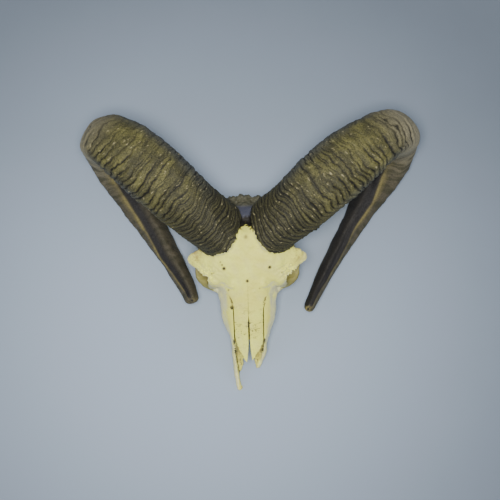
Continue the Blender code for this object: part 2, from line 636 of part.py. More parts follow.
def build():
    """Make the whole skull with its horns."""
    for old in list(bpy.data.objects):
        bpy.data.objects.remove(old, do_unlink=True)
    collection = bpy.data.collections.new("ram_skull")
    cutters = bpy.data.collections.new("cutters")
    bpy.context.scene.collection.children.link(collection)
    bpy.context.scene.collection.children.link(cutters)
    bones = build_skull(collection, cutters)
    horns = [make_object(name, *closed_loft(horn_rings(shape)), collection) for name, shape in HORNS.items()]
    for used in list(cutters.objects):
        bpy.data.objects.remove(used, do_unlink=True)
    rest_on_floor(bones + horns)
    bone = finish_material("bone", BONE_COLOUR, BONE_ROUGHNESS)
    cheekbone = finish_material("cheekbone", JUGAL_COLOUR, BONE_ROUGHNESS)
    keratin = finish_material("horn", HORN_COLOUR, HORN_ROUGHNESS)
    for piece in bones:
        piece.data.materials.append(cheekbone if piece.name.startswith("zygomatic") else bone)
    for piece in horns:
        piece.data.materials.append(keratin)
    for piece in bones + horns:
        piece.data.shade_smooth()
        piece.data.set_sharp_from_angle(angle=math.radians(50))
        print(piece.name, len(piece.data.vertices), sum(len(f.vertices) - 2 for f in piece.data.polygons))


build()
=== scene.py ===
"""Ram skull with its two horns: the detailed bones, horn sheaths, floor, light and camera.

The shapes are worked out in the skull's own frame, in millimetres: x to the animal's left,
y back from the tip of the muzzle, z up from the plane of the cheek teeth. Resting turns
them nose down and sets them on the floor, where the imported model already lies.
"""

import logging
import math
from dataclasses import dataclass
from enum import Enum

import bmesh
import bpy
import numpy as np
from mathutils import Matrix


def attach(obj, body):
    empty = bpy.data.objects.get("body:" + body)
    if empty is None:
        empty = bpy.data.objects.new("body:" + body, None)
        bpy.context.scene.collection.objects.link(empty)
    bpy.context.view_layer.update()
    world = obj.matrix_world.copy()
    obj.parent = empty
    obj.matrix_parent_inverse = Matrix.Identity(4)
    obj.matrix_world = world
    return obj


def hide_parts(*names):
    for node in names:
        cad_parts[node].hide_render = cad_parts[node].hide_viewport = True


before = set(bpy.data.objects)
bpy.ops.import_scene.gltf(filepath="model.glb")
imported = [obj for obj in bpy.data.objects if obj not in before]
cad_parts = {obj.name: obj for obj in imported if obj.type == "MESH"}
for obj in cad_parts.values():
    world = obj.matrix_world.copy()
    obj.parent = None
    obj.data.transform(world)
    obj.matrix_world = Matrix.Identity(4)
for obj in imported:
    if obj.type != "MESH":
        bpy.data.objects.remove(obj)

LOG = logging.getLogger("ram_skull")
Array = np.ndarray
Rows = tuple[tuple[float, ...], ...]
Shape = tuple[Array, list[tuple[int, ...]]]
Marks = dict[str, Array]
MM = 0.001
FULL_TURN = 2 * math.pi
CORE_SIDES = 64  # points around the bony core of a horn


class Side(Enum):
    """Side of the animal, as the sign of x."""

    LEFT = 1
    RIGHT = -1


class Slot(Enum):
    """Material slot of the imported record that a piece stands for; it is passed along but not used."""

    BONE = "bone"
    CHEEKBONE = "cheekbone"
    HORN = "horn"


class PerVertex(Enum):
    """Three numbers that a mesh keeps for each vertex, by Blender's name."""

    PLACE = "co"
    NORMAL = "normal"


# ---------------------------------------------------------------------------
# numbers and curves
# ---------------------------------------------------------------------------

def smooth_table(rows: Rows | Array, at: Array) -> Array:
    """Read a table on a smooth curve that never overshoots its rows.

    Formula: cubic pieces whose slope at each row is the harmonic mean of its two
    neighbouring slopes, or nought where the values turn back.

    Args:
        rows: the key in the first column and the values in the others.
        at: the keys to read.

    Returns:
        One row of values for each key.
    """
    rows = np.array(rows, float)
    key, columns = rows[:, 0], rows[:, 1:]
    step = np.diff(key)[:, None]
    slope = np.diff(columns, axis=0) / step
    tangent = np.zeros_like(columns)
    same_way = slope[:-1] * slope[1:] > 0
    total = np.where(same_way, slope[:-1] + slope[1:], 1.0)
    tangent[1:-1] = np.where(same_way, 2 * slope[:-1] * slope[1:] / total, 0.0)
    tangent[0], tangent[-1] = slope[0], slope[-1]
    index = np.clip(np.searchsorted(key, at) - 1, 0, len(key) - 2)
    width = step[index]
    t = (at[:, None] - key[index][:, None]) / width
    rise = t * t * (3 - 2 * t)
    return (columns[index] * (1 - rise) + columns[index + 1] * rise
            + width * t * (1 - t) * (tangent[index] * (1 - t) - tangent[index + 1] * t))


def straight_table(rows: Rows, at: Array) -> Array:
    """Read a table of two columns, key and value, on straight lines."""
    return np.interp(at, *np.array(rows, float).T)


def spline(key: Array, values: Array, at: Array) -> Array:
    """Read values on the natural cubic spline through them.

    Formula: the second derivative changes evenly between the keys, is nought at both
    ends, and makes the slope run on without a break.

    Args:
        key: places of the known values, rising.
        values: known values, one row for each place.
        at: places to read.

    Returns:
        One row of values for each place read.
    """
    step = np.diff(key)
    count = len(key)
    matrix = np.eye(count)
    inner = np.arange(1, count - 1)
    matrix[inner, inner - 1] = step[:-1]
    matrix[inner, inner] = 2 * (step[:-1] + step[1:])
    matrix[inner, inner + 1] = step[1:]
    slope = np.diff(values, axis=0) / step[:, None]
    right = np.zeros_like(values)
    right[1:-1] = 6 * np.diff(slope, axis=0)
    bend = np.linalg.solve(matrix, right)
    index = np.clip(np.searchsorted(key, at) - 1, 0, count - 2)
    width = step[index][:, None]
    a = (key[index + 1] - at)[:, None] / width
    b = 1 - a
    return (a * values[index] + b * values[index + 1]
            + ((a ** 3 - a) * bend[index] + (b ** 3 - b) * bend[index + 1]) * width ** 2 / 6)


def ramp(value: Array, low: float, high: float) -> Array:
    """Rise smoothly from 0 at low to 1 at high."""
    t = np.clip((value - low) / (high - low), 0, 1)
    return t * t * (3 - 2 * t)


def hump(value: Array, middle: float, width: float) -> Array:
    """Bell curve of height 1 around a middle."""
    return np.exp(-((value - middle) / width) ** 2)


def off_angle(angle: Array, centre: Array | float) -> Array:
    """Angle from a centre, taken the short way round."""
    return (angle - centre + math.pi) % FULL_TURN - math.pi


def unit(vectors: Array) -> Array:
    """Vectors brought to length one, with their three parts in the last axis."""
    return vectors / np.linalg.norm(vectors, axis=-1, keepdims=True)


def directions(line: Array) -> Array:
    """Direction along a line of points, at each of them."""
    return unit(np.gradient(line, axis=0))


def lengths(line: Array) -> Array:
    """Length along a line of points, at each of them."""
    return np.concatenate([[0], np.cumsum(np.linalg.norm(np.diff(line, axis=0), axis=1))])


@dataclass(frozen=True)
class Ripples:
    """Smooth random field: a sum of plane waves with seeded directions and phases.

    The field at a point is the mean of cosines of the point's dot product with each wave
    vector, scaled so that its spread is about 1.
    """

    size: float
    seed: int
    waves: int = 26

    def at(self, points: Array) -> Array:
        """Field at points.

        Args:
            points: places of any number of dimensions, given in the last axis.

        Returns:
            One number for each point.
        """
        draw = np.random.default_rng(self.seed)
        dimensions = points.shape[-1]
        direction = unit(draw.standard_normal((self.waves, dimensions)))
        number = FULL_TURN / self.size * draw.uniform(0.6, 1.6, self.waves)
        phase = draw.uniform(0, FULL_TURN, self.waves)
        total = np.zeros(points.shape[:-1])
        for vector, start in zip(direction * number[:, None], phase):
            total += np.cos(points @ vector + start)
        return total * math.sqrt(2 / self.waves)


# ---------------------------------------------------------------------------
# surfaces
# ---------------------------------------------------------------------------

def outline(sides: int, squareness: float) -> tuple[Array, Array]:
    """Unit outline between an ellipse and a box.

    Formula: each coordinate is the cosine or sine, with its sign kept and its size
    raised to the power 2 over the squareness.

    Args:
        sides: number of points.
        squareness: 2 for an ellipse, and more towards a box.

    Returns:
        The two coordinates.
    """
    angle = np.linspace(0, FULL_TURN, sides, endpoint=False)
    power = 2 / squareness
    return (np.sign(np.cos(angle)) * np.abs(np.cos(angle)) ** power,
            np.sign(np.sin(angle)) * np.abs(np.sin(angle)) ** power)


def skin(rings: Array) -> Shape:
    """Closed skin over rings of points, with a point in the middle of each end.

    Args:
        rings: array of rings by sides by three.

    Returns:
        Points and faces.
    """
    count, sides = rings.shape[:2]
    points = np.vstack([rings.reshape(-1, 3), rings[0].mean(0), rings[-1].mean(0)])
    row = np.arange(count - 1)[:, None] * sides
    here = np.arange(sides)[None, :]
    beside = (here + 1) % sides
    quads = np.stack([row + here, row + beside, row + sides + beside, row + sides + here], -1)
    last = (count - 1) * sides
    start = [(count * sides, int(k), int(j)) for j, k in zip(here[0], beside[0])]
    end = [(count * sides + 1, int(last + j), int(last + k)) for j, k in zip(here[0], beside[0])]
    return points, [tuple(face) for face in quads.reshape(-1, 4).tolist()] + start + end


def slices(rows: Rows, squareness: float) -> Shape:
    """Loft of upright slices.

    Formula: the table is read at even steps of y, and each ring is the middle of its
    slice + half the slice's size * the unit outline.

    Args:
        rows: y, top, bottom and half width.
        squareness: squareness of the outline.

    Returns:
        Points and faces.
    """
    count, sides = 40, 44
    at = np.linspace(rows[0][0], rows[-1][0], count)
    top, bottom, half = smooth_table(rows, at).T
    x, z = outline(sides, squareness)
    rings = np.empty((count, sides, 3))
    rings[..., 0] = half[:, None] * x
    rings[..., 1] = at[:, None]
    rings[..., 2] = ((top + bottom) / 2)[:, None] + ((top - bottom) / 2)[:, None] * z
    return skin(rings)


def rod(rows: Rows, side: Side = Side.LEFT, steps: int = 7, sides: int = 20) -> Shape:
    """Oval profile carried along a path.

    Formula: the path and the half sizes are read from the table by length, and each ring
    is centre + cos * half width * across + sin * half height * upright.

    Args:
        rows: x, y, z, half width and half height.
        side: side that the rod lies on, where x is given for the left one.
        steps: rings for each row.
        sides: points around a ring.

    Returns:
        Points and faces.
    """
    table = np.array(rows, float)
    length = lengths(table[:, :3])
    at = np.linspace(0, length[-1], steps * (len(table) - 1) + 1)
    values = smooth_table(np.column_stack([length, table]), at)
    centre, half_width, half_height = values[:, :3], values[:, 3], values[:, 4]
    along = directions(centre)
    upright = np.array([0.0, 0.0, 1.0]) - along[:, 2:3] * along
    steep = np.linalg.norm(upright, axis=1) < 0.5
    upright[steep] = np.array([0.0, 1.0, 0.0]) - along[steep, 1:2] * along[steep]
    upright = unit(upright)
    across = np.cross(along, upright)
    angle = np.linspace(0, FULL_TURN, sides, endpoint=False)
    rings = (centre[:, None] + (half_width[:, None] * np.cos(angle))[..., None] * across[:, None]
             + (half_height[:, None] * np.sin(angle))[..., None] * upright[:, None])
    rings[..., 0] *= side.value
    return skin(rings)


def ball(shape: Rows, side: Side = Side.LEFT, rings: int = 24, sides: int = 32) -> Shape:
    """Rounded mass: a sphere stretched to its half sizes around its centre.

    Formula: centre + half size * (sin polar * cos angle, sin polar * sin angle, cos polar).

    Args:
        shape: the centre and the half sizes.
        side: side that the mass lies on, where x is given for the left one.
        rings: rings from pole to pole.
        sides: points around a ring.

    Returns:
        Points and faces.
    """
    centre, half = (np.array(part, float) for part in shape)
    pole = 0.05
    polar = np.linspace(pole, math.pi - pole, rings)[:, None]
    angle = np.linspace(0, FULL_TURN, sides, endpoint=False)[None, :]
    sphere = np.stack(np.broadcast_arrays(np.sin(polar) * np.cos(angle), np.sin(polar) * np.sin(angle),
                                          np.cos(polar)), axis=-1)
    points = centre + sphere * half
    points[..., 0] *= side.value
    return skin(points)


def prism(path: Array, low: float, high: float) -> Shape:
    """Outline in y and z carried straight across.

    Args:
        path: y and z of each corner.
        low: x where it starts.
        high: x where it ends.

    Returns:
        Points and faces.
    """
    count = len(path)
    points = np.vstack([np.column_stack([np.full(count, x), path]) for x in (low, high)])
    faces = [tuple(range(count - 1, -1, -1)), tuple(range(count, 2 * count))]
    faces += [(i, (i + 1) % count, count + (i + 1) % count, count + i) for i in range(count)]
    return points, faces


def sheet(path: Rows, thickness: float, half_width: float) -> Shape:
    """Thin upright sheet that follows a path in y and z.

    Formula: the path, moved to each side by half the thickness across its direction.

    Args:
        path: y and z of each corner.
        thickness: thickness of the sheet.
        half_width: reach to each side of the midline.

    Returns:
        Points and faces.
    """
    line = np.array(path, float)
    along = directions(line)
    offset = np.column_stack([-along[:, 1], along[:, 0]]) * thickness / 2
    return prism(np.vstack([line + offset, (line - offset)[::-1]]), -half_width, half_width)


def hollow_case(low: Array, high: Array, wall: float, side: Side) -> Shape:
    """Thin-walled closed case: a box with a smaller box, turned inside out, within it.

    Args:
        low: lowest corner, on the left side.
        high: highest corner, on the left side.
        wall: thickness of the walls.
        side: side that the case lies on.

    Returns:
        Points and faces.
    """
    box = ((0, 1, 3, 2), (4, 6, 7, 5), (0, 4, 5, 1), (2, 3, 7, 6), (0, 2, 6, 4), (1, 5, 7, 3))
    shells = []
    for inset, inward in ((0.0, False), (wall, True)):
        a, b = low + inset, high - inset
        corners = np.array([(x, y, z) for x in (a[0], b[0]) for y in (a[1], b[1]) for z in (a[2], b[2])])
        turned = inward != (side is Side.RIGHT)
        shells.append((corners * (side.value, 1, 1), [face[::-1] if turned else face for face in box]))
    return merged(shells)


# ---------------------------------------------------------------------------
# Blender meshes
# ---------------------------------------------------------------------------

def new_object(name: str, shape: Shape, recalculate: bool = True) -> bpy.types.Object:
    """Put points and faces into a linked object.

    Args:
        name: name of the object and its mesh.
        shape: points in millimetres, and faces.
        recalculate: whether the faces still have to be turned outwards.

    Returns:
        The object.
    """
    points, faces = shape
    mesh = bpy.data.meshes.new(name)
    mesh.from_pydata((points * MM).tolist(), [], faces)
    if recalculate:
        shell = bmesh.new()
        shell.from_mesh(mesh)
        bmesh.ops.recalc_face_normals(shell, faces=shell.faces)
        shell.to_mesh(mesh)
        shell.free()
    made = bpy.data.objects.new(name, mesh)
    bpy.context.scene.collection.objects.link(made)
    return made


def merged(shapes: list[Shape]) -> Shape:
    """Several shapes as one.

    Args:
        shapes: the shapes.

    Returns:
        One set of points and faces.
    """
    points, faces, start = [], [], 0
    for shape_points, shape_faces in shapes:
        points.append(shape_points)
        faces += [tuple(start + i for i in face) for face in shape_faces]
        start += len(shape_points)
    return np.vstack(points), faces


def settle(made: bpy.types.Object) -> None:
    """Apply an object's modifiers to its mesh.

    Args:
        made: the object.
    """
    bpy.context.view_layer.update()
    graph = bpy.context.evaluated_depsgraph_get()
    mesh = bpy.data.meshes.new_from_object(made.evaluated_get(graph))
    made.modifiers.clear()
    made.data = mesh


def melt(made: bpy.types.Object, grain: float, smoothing: int) -> None:
    """Melt overlapping forms into one skin.

    Args:
        made: object that holds the forms.
        grain: size of the skin's faces in millimetres.
        smoothing: how often the skin is smoothed.
    """
    remesh = made.modifiers.new("melt", "REMESH")
    remesh.mode = "VOXEL"
    remesh.voxel_size = grain * MM
    soften = made.modifiers.new("soften", "SMOOTH")
    soften.factor = 0.5
    soften.iterations = smoothing
    settle(made)


def cut(made: bpy.types.Object, shapes: list[tuple[Shape, bool]]) -> None:
    """Take shapes out of a solid one after another.

    Args:
        made: the solid.
        shapes: each shape, and whether its faces still have to be turned outwards.
    """
    cutters = [new_object("cutter", shape, recalculate) for shape, recalculate in shapes]
    for cutter in cutters:
        take = made.modifiers.new("cut", "BOOLEAN")
        take.operation = "DIFFERENCE"
        take.solver = "MANIFOLD"
        take.object = cutter
    settle(made)
    for cutter in cutters:
        bpy.data.objects.remove(cutter, do_unlink=True)


def read(mesh: bpy.types.Mesh, what: PerVertex) -> Array:
    """Places in metres, or normals, of a mesh.

    Args:
        mesh: the mesh.
        what: which of the two.

    Returns:
        One row for each vertex.
    """
    flat = np.empty(len(mesh.vertices) * 3)
    mesh.vertices.foreach_get(what.value, flat)
    return flat.reshape(-1, 3)


def move_points(mesh: bpy.types.Mesh, points: Array) -> None:
    """Write vertex positions in metres."""
    mesh.vertices.foreach_set("co", np.asarray(points, np.float32).ravel())
    mesh.update()


def paint(mesh: bpy.types.Mesh, name: str, values: Array) -> None:
    """Keep one number for each vertex under a name that a material reads."""
    layer = mesh.attributes.new(name, "FLOAT", "POINT")
    layer.data.foreach_set("value", np.asarray(np.clip(values, 0, 1), np.float32))


def bodies(made: bpy.types.Object) -> list[Shape]:
    """Separate closed bodies of an object.

    Formula: every vertex takes the lowest number in reach, by passing the lower number
    along the edges until nothing changes.

    Args:
        made: the object.

    Returns:
        Points in millimetres, and faces, of each body.
    """
    mesh = made.data
    edges = np.empty(len(mesh.edges) * 2, np.int64)
    mesh.edges.foreach_get("vertices", edges)
    a, b = edges.reshape(-1, 2).T
    label = np.arange(len(mesh.vertices))
    while True:
        lower = label.copy()
        np.minimum.at(lower, a, label[b])
        np.minimum.at(lower, b, label[a])
        lower = lower[lower]
        if np.array_equal(lower, label):
            break
        label = lower
    points = read(mesh, PerVertex.PLACE) / MM
    sizes = np.empty(len(mesh.polygons), np.int64)
    mesh.polygons.foreach_get("loop_total", sizes)
    corners = np.empty(len(mesh.loops), np.int64)
    mesh.loops.foreach_get("vertex_index", corners)
    starts = np.concatenate([[0], np.cumsum(sizes)])
    owner = label[corners[starts[:-1]]]
    found = []
    for name in np.unique(label):
        mine = np.flatnonzero(label == name)
        number = np.full(len(label), -1)
        number[mine] = np.arange(len(mine))
        faces = [tuple(number[corners[starts[i]:starts[i + 1]]].tolist())
                 for i in np.flatnonzero(owner == name)]
        found.append((points[mine], faces))
    return found


# ---------------------------------------------------------------------------
# materials
# ---------------------------------------------------------------------------

def linear(code: str) -> tuple[float, float, float, float]:
    """Linear colour of an sRGB code.

    Formula: the sRGB standard's straight piece for the darkest values, and its power of
    2.4 for the others.

    Args:
        code: the colour as #rrggbb.

    Returns:
        Red, green, blue and alpha.
    """
    parts = [int(code[i:i + 2], 16) / 255 for i in (1, 3, 5)]
    red, green, blue = (p / 12.92 if p <= 0.04045 else ((p + 0.055) / 1.055) ** 2.4 for p in parts)
    return red, green, blue, 1.0


def add(tree: bpy.types.NodeTree, kind: str, inputs: dict | None = None, out: str | int | None = None,
        **settings: object) -> bpy.types.Node | bpy.types.NodeSocket:
    """Add a node with its settings, and fill or link its inputs.

    Args:
        tree: node tree of the material.
        kind: Blender's name for the node.
        inputs: socket name or number, with a value or the socket that feeds it.
        out: name or number of the output wanted.
        settings: properties of the node.

    Returns:
        The output asked for, or the node itself where none is.
    """
    node = tree.nodes.new(kind)
    for name, value in settings.items():
        setattr(node, name, value)
    for key, value in (inputs or {}).items():
        if isinstance(value, bpy.types.NodeSocket):
            tree.links.new(value, node.inputs[key])
        else:
            node.inputs[key].default_value = value
    return node if out is None else node.outputs[out]


def blank_material(name: str) -> tuple[bpy.types.Material, bpy.types.NodeTree, bpy.types.Node]:
    """New material.

    Args:
        name: its name.

    Returns:
        The material, its node tree and its shader.
    """
    material = bpy.data.materials.new(name)
    material.use_nodes = True
    tree = material.node_tree
    return material, tree, tree.nodes["Principled BSDF"]


NOISE, MIX, RANGE = "ShaderNodeTexNoise", "ShaderNodeMix", "ShaderNodeMapRange"
MATH, MARK, BUMP, PLACE = "ShaderNodeMath", "ShaderNodeAttribute", "ShaderNodeBump", "ShaderNodeTexCoord"


@dataclass(frozen=True)
class DryBone:
    """Weathered bone: cleaned, dried, sun bleached and matt, with ochre stains and painted shade in its
    hollows.
    """

    name: str = "dry_bone"
    pale: str = "#f5f877"
    # Painted light: the paler colour laid on the sides of the bone.
    warm: str = "#edea6f"
    painted_light: str = "#fefcc9"
    # Near black, for dirt and for painted shade in hollows, holes and gaps.
    stain: str = "#a8914c"
    # Colour of the stains and of painted shade in hollows and on undersides.
    shade_and_dirt: str = "#16120c"
    enamel: str = "#c4bb90"
    # Slate grey, for painted shade and grime.
    grime_and_shade: str = "#4a4d5e"
    # Ochre of the cheekbones, partly painted shade under the brow.
    ochre: str = "#847c45"
    moss: str = "#535344"
    roughness: float = 0.66
    pore_mm: float = 0.9
    cloud_mm: float = 26.0
    fleck_mm: float = 4.0

    def material(self) -> bpy.types.Material:
        """Cream clouds, painted light on the sides, stains and painted shade where the mesh
        says, dark seams and pores, pale enamel.

        The broad clouds keep the bleached bone from looking cast in one colour, the flecks
        break the stains up as they soak into the grain, and the pores dull the surface.
        Real pores are about 0.3 mm across, too fine to show, so they are drawn coarser.

        Returns:
            The material.
        """
        made, tree, shader = blank_material(self.name)
        place = add(tree, PLACE, out="Object")
        noise = {mm: add(tree, NOISE, {"Vector": place, "Scale": 1 / (mm * MM), "Detail": detail}, 0)
                 for mm, detail in ((self.cloud_mm, 4.0), (self.fleck_mm, 6.0), (self.pore_mm, 3.0))}
        flecks, pores = noise[self.fleck_mm], noise[self.pore_mm]
        mark = {name: add(tree, MARK, out="Fac", attribute_name=name)
                for name in ("painted_light", "ochre", "stain", "enamel", "grime_and_shade", "moss", "shade_and_dirt")}
        clouds = add(tree, RANGE, {0: noise[self.cloud_mm], 1: 0.38, 2: 0.64}, 0)
        broken = add(tree, RANGE, {0: flecks, 1: 0.30, 2: 0.62, 3: 0.35, 4: 1.0}, 0)
        for name, share in (("stain", broken), ("enamel", 0.8)):
            mark[name] = add(tree, MATH, {0: mark[name], 1: share}, 0, operation="MULTIPLY")
        pits = add(tree, RANGE, {0: pores, 1: 0.60, 2: 0.74, 3: 0.0, 4: 0.30}, 0)
        colour = linear(self.pale)
        for share, code in ((clouds, self.warm), (mark["painted_light"], self.painted_light), (mark["ochre"], self.ochre),
                            (mark["stain"], self.stain), (mark["enamel"], self.enamel),
                            (mark["grime_and_shade"], self.grime_and_shade), (mark["moss"], self.moss),
                            (pits, self.stain), (mark["shade_and_dirt"], self.shade_and_dirt)):
            colour = add(tree, MIX, {0: share, 6: colour, 7: linear(code)}, 2, data_type="RGBA")
        tree.links.new(colour, shader.inputs["Base Color"])
        low, high = self.roughness - 0.10, self.roughness + 0.10
        rough = add(tree, RANGE, {0: flecks, 1: 0.3, 2: 0.7, 3: low, 4: high}, 0)
        tree.links.new(rough, shader.inputs["Roughness"])
        coarse = add(tree, BUMP, {"Height": flecks, "Strength": 0.22, "Distance": 0.0009}, 0)
        fine = add(tree, BUMP, {"Height": pores, "Strength": 0.25, "Distance": 0.0004, "Normal": coarse}, 0)
        tree.links.new(fine, shader.inputs["Normal"])
        return made


@dataclass(frozen=True)
class HornSheathFinish:
    """Ram's horn: layered keratin, dull and fibrous, olive with near black grooves, partly painted shade."""

    name: str = "weathered_horn"
    ridge: str = "#6c693a"
    flank: str = "#363520"
    base: str = "#413f25"
    # Near black of the grooves and cracks, partly painted shade deep in them.
    groove: str = "#060503"
    grey: str = "#494c4c"
    bend: str = "#958e74"
    # Painted shade: the darker olive of the far limb, which lies low and behind.
    arm: str = "#524c3a"
    shade: str = "#151316"
    # Painted highlight: the pale colour along the keel.
    keel: str = "#857a48"
    flake: str = "#a89b60"
    splinter: str = "#b3a981"
    roughness: float = 0.66
    fibre_mm: float = 1.5
    flake_mm: float = 2.6
    patch_mm: float = 13.0

    def material(self) -> bpy.types.Material:
        """Patchy olive, darker at the rim, greyer past the bend, darker on the far limb and its
        inner face as painted shade, with dark grooves and a painted highlight on the keel.

        The tone of each ridge and the grain on it give the layered growth, the fibres and
        flakes give the splintery surface, and the grooves are painted near black, partly as
        the shade deep in them. Real fibres are about 0.2 mm wide, too fine to show, so they
        are drawn coarser.

        Returns:
            The material.
        """
        made, tree, shader = blank_material(self.name)
        place = add(tree, PLACE, out="Object")
        noise = {mm: add(tree, NOISE, {"Vector": place, "Scale": 1 / (mm * MM), "Detail": detail}, 0)
                 for mm, detail in ((self.patch_mm, 5.0), (self.fibre_mm, 6.0), (self.flake_mm, 4.0))}
        fibres, flakes = noise[self.fibre_mm], noise[self.flake_mm]
        mark = {name: add(tree, MARK, out="Fac", attribute_name=name)
                for name in ("tone", "base", "grey", "bend", "arm", "band", "shade", "keel", "worn",
                             "chip", "groove")}
        grain = add(tree, RANGE, {0: noise[self.patch_mm], 1: 0.38, 2: 0.62, 3: 0.35, 4: 1.0}, 0)
        for name, share in (("tone", grain), ("base", 0.85), ("keel", 0.8), ("chip", 0.75)):
            mark[name] = add(tree, MATH, {0: mark[name], 1: share}, 0, operation="MULTIPLY")
        light_grain = add(tree, RANGE, {0: flakes, 1: 0.54, 2: 0.70, 3: 0.0, 4: 0.22}, 0)
        splinters = add(tree, RANGE, {0: fibres, 1: 0.50, 2: 0.64, 3: 0.0, 4: 0.55}, 0)
        smooth = add(tree, RANGE, {0: mark["bend"], 1: 0.0, 2: 1.0, 3: 1.0, 4: 0.45}, 0)
        dark_grain = add(tree, MATH, {0: splinters, 1: smooth}, 0, operation="MULTIPLY")
        colour = linear(self.flank)
        for share, code in ((mark["tone"], self.ridge), (light_grain, self.flake), (mark["base"], self.base),
                            (mark["grey"], self.grey), (mark["bend"], self.bend), (mark["arm"], self.arm),
                            (mark["band"], self.flank), (mark["shade"], self.shade),
                            (mark["keel"], self.keel), (mark["worn"], self.flake),
                            (mark["chip"], self.splinter), (dark_grain, self.groove),
                            (mark["groove"], self.groove)):
            colour = add(tree, MIX, {0: share, 6: colour, 7: linear(code)}, 2, data_type="RGBA")
        tree.links.new(colour, shader.inputs["Base Color"])
        low, high = self.roughness - 0.08, self.roughness + 0.16
        rough = add(tree, RANGE, {0: fibres, 1: 0.3, 2: 0.7, 3: low, 4: high}, 0)
        tree.links.new(rough, shader.inputs["Roughness"])
        layers = add(tree, BUMP, {"Height": flakes, "Strength": 0.6, "Distance": 0.0009}, 0)
        bump = add(tree, BUMP, {"Height": fibres, "Strength": 0.8, "Distance": 0.0010, "Normal": layers}, 0)
        tree.links.new(bump, shader.inputs["Normal"])
        return made


@dataclass(frozen=True)
class BackdropPaint:
    """Matt painted board: blue grey, with a pool of painted light in the middle and painted light far out."""

    name: str = "painted_board"
    colour: str = "#66707d"
    # Painted light: a pale pool around bright_at, and a paler floor far out where the lamps' light falls off.
    bright: str = "#a2b1c5"
    outer: str = "#dde3ea"
    bright_at: tuple[float, float, float] = (-0.07, -0.07, 0.0)
    reach: tuple[float, float] = (0.06, 0.55)
    outer_reach: tuple[float, float] = (0.58, 2.0)
    mottle_mm: float = 60.0
    roughness: float = 0.9

    def material(self) -> bpy.types.Material:
        """One flat matt paint, paler in the middle and far out as painted light, with a very slight mottling.

        Returns:
            The material.
        """
        made, tree, shader = blank_material(self.name)
        place = add(tree, PLACE, out="Object")
        mottle = add(tree, NOISE, {"Vector": place, "Scale": 1 / (self.mottle_mm * MM), "Detail": 3.0}, 0)
        slight = add(tree, MATH, {0: mottle, 1: 0.06}, 0, operation="MULTIPLY")
        away = add(tree, "ShaderNodeVectorMath", {0: place, 1: self.bright_at}, "Value", operation="DISTANCE")
        fade, edge = (add(tree, RANGE, {0: away, 1: start, 2: end}, 0, interpolation_type="SMOOTHSTEP")
                      for start, end in (self.reach, self.outer_reach))
        colour = linear(self.bright)
        for share, code in ((fade, self.colour), (edge, self.outer), (slight, self.bright)):
            colour = add(tree, MIX, {0: share, 6: colour, 7: linear(code)}, 2, data_type="RGBA")
        tree.links.new(colour, shader.inputs["Base Color"])
        shader.inputs["Roughness"].default_value = self.roughness
        shader.inputs["Specular IOR Level"].default_value = 0.2
        return made


# ---------------------------------------------------------------------------
# the resting place
# ---------------------------------------------------------------------------

@dataclass(frozen=True)
class Resting:
    """Turns the skull's own frame, in millimetres, into the floor's frame, in metres."""

    nose_down: float = math.radians(8.4)
    shift: tuple[float, float, float] = (-8.35, -164.13, -10.64)

    def matrix(self) -> Matrix:
        """Turn nose down, then shift, in metres."""
        return Matrix.Translation([v * MM for v in self.shift]) @ Matrix.Rotation(self.nose_down, 4, "X")

    def points(self, points: Array) -> Array:
        """Points set down on the floor, none of them under it.

        Args:
            points: places in the skull's own frame.

        Returns:
            Places in metres.
        """
        turn = np.array(self.matrix().to_3x3())
        placed = points @ turn.T * MM + np.array(self.shift) * MM
        placed[:, 2] = np.maximum(placed[:, 2], 0.0)
        return placed


# ---------------------------------------------------------------------------
# horns
# ---------------------------------------------------------------------------

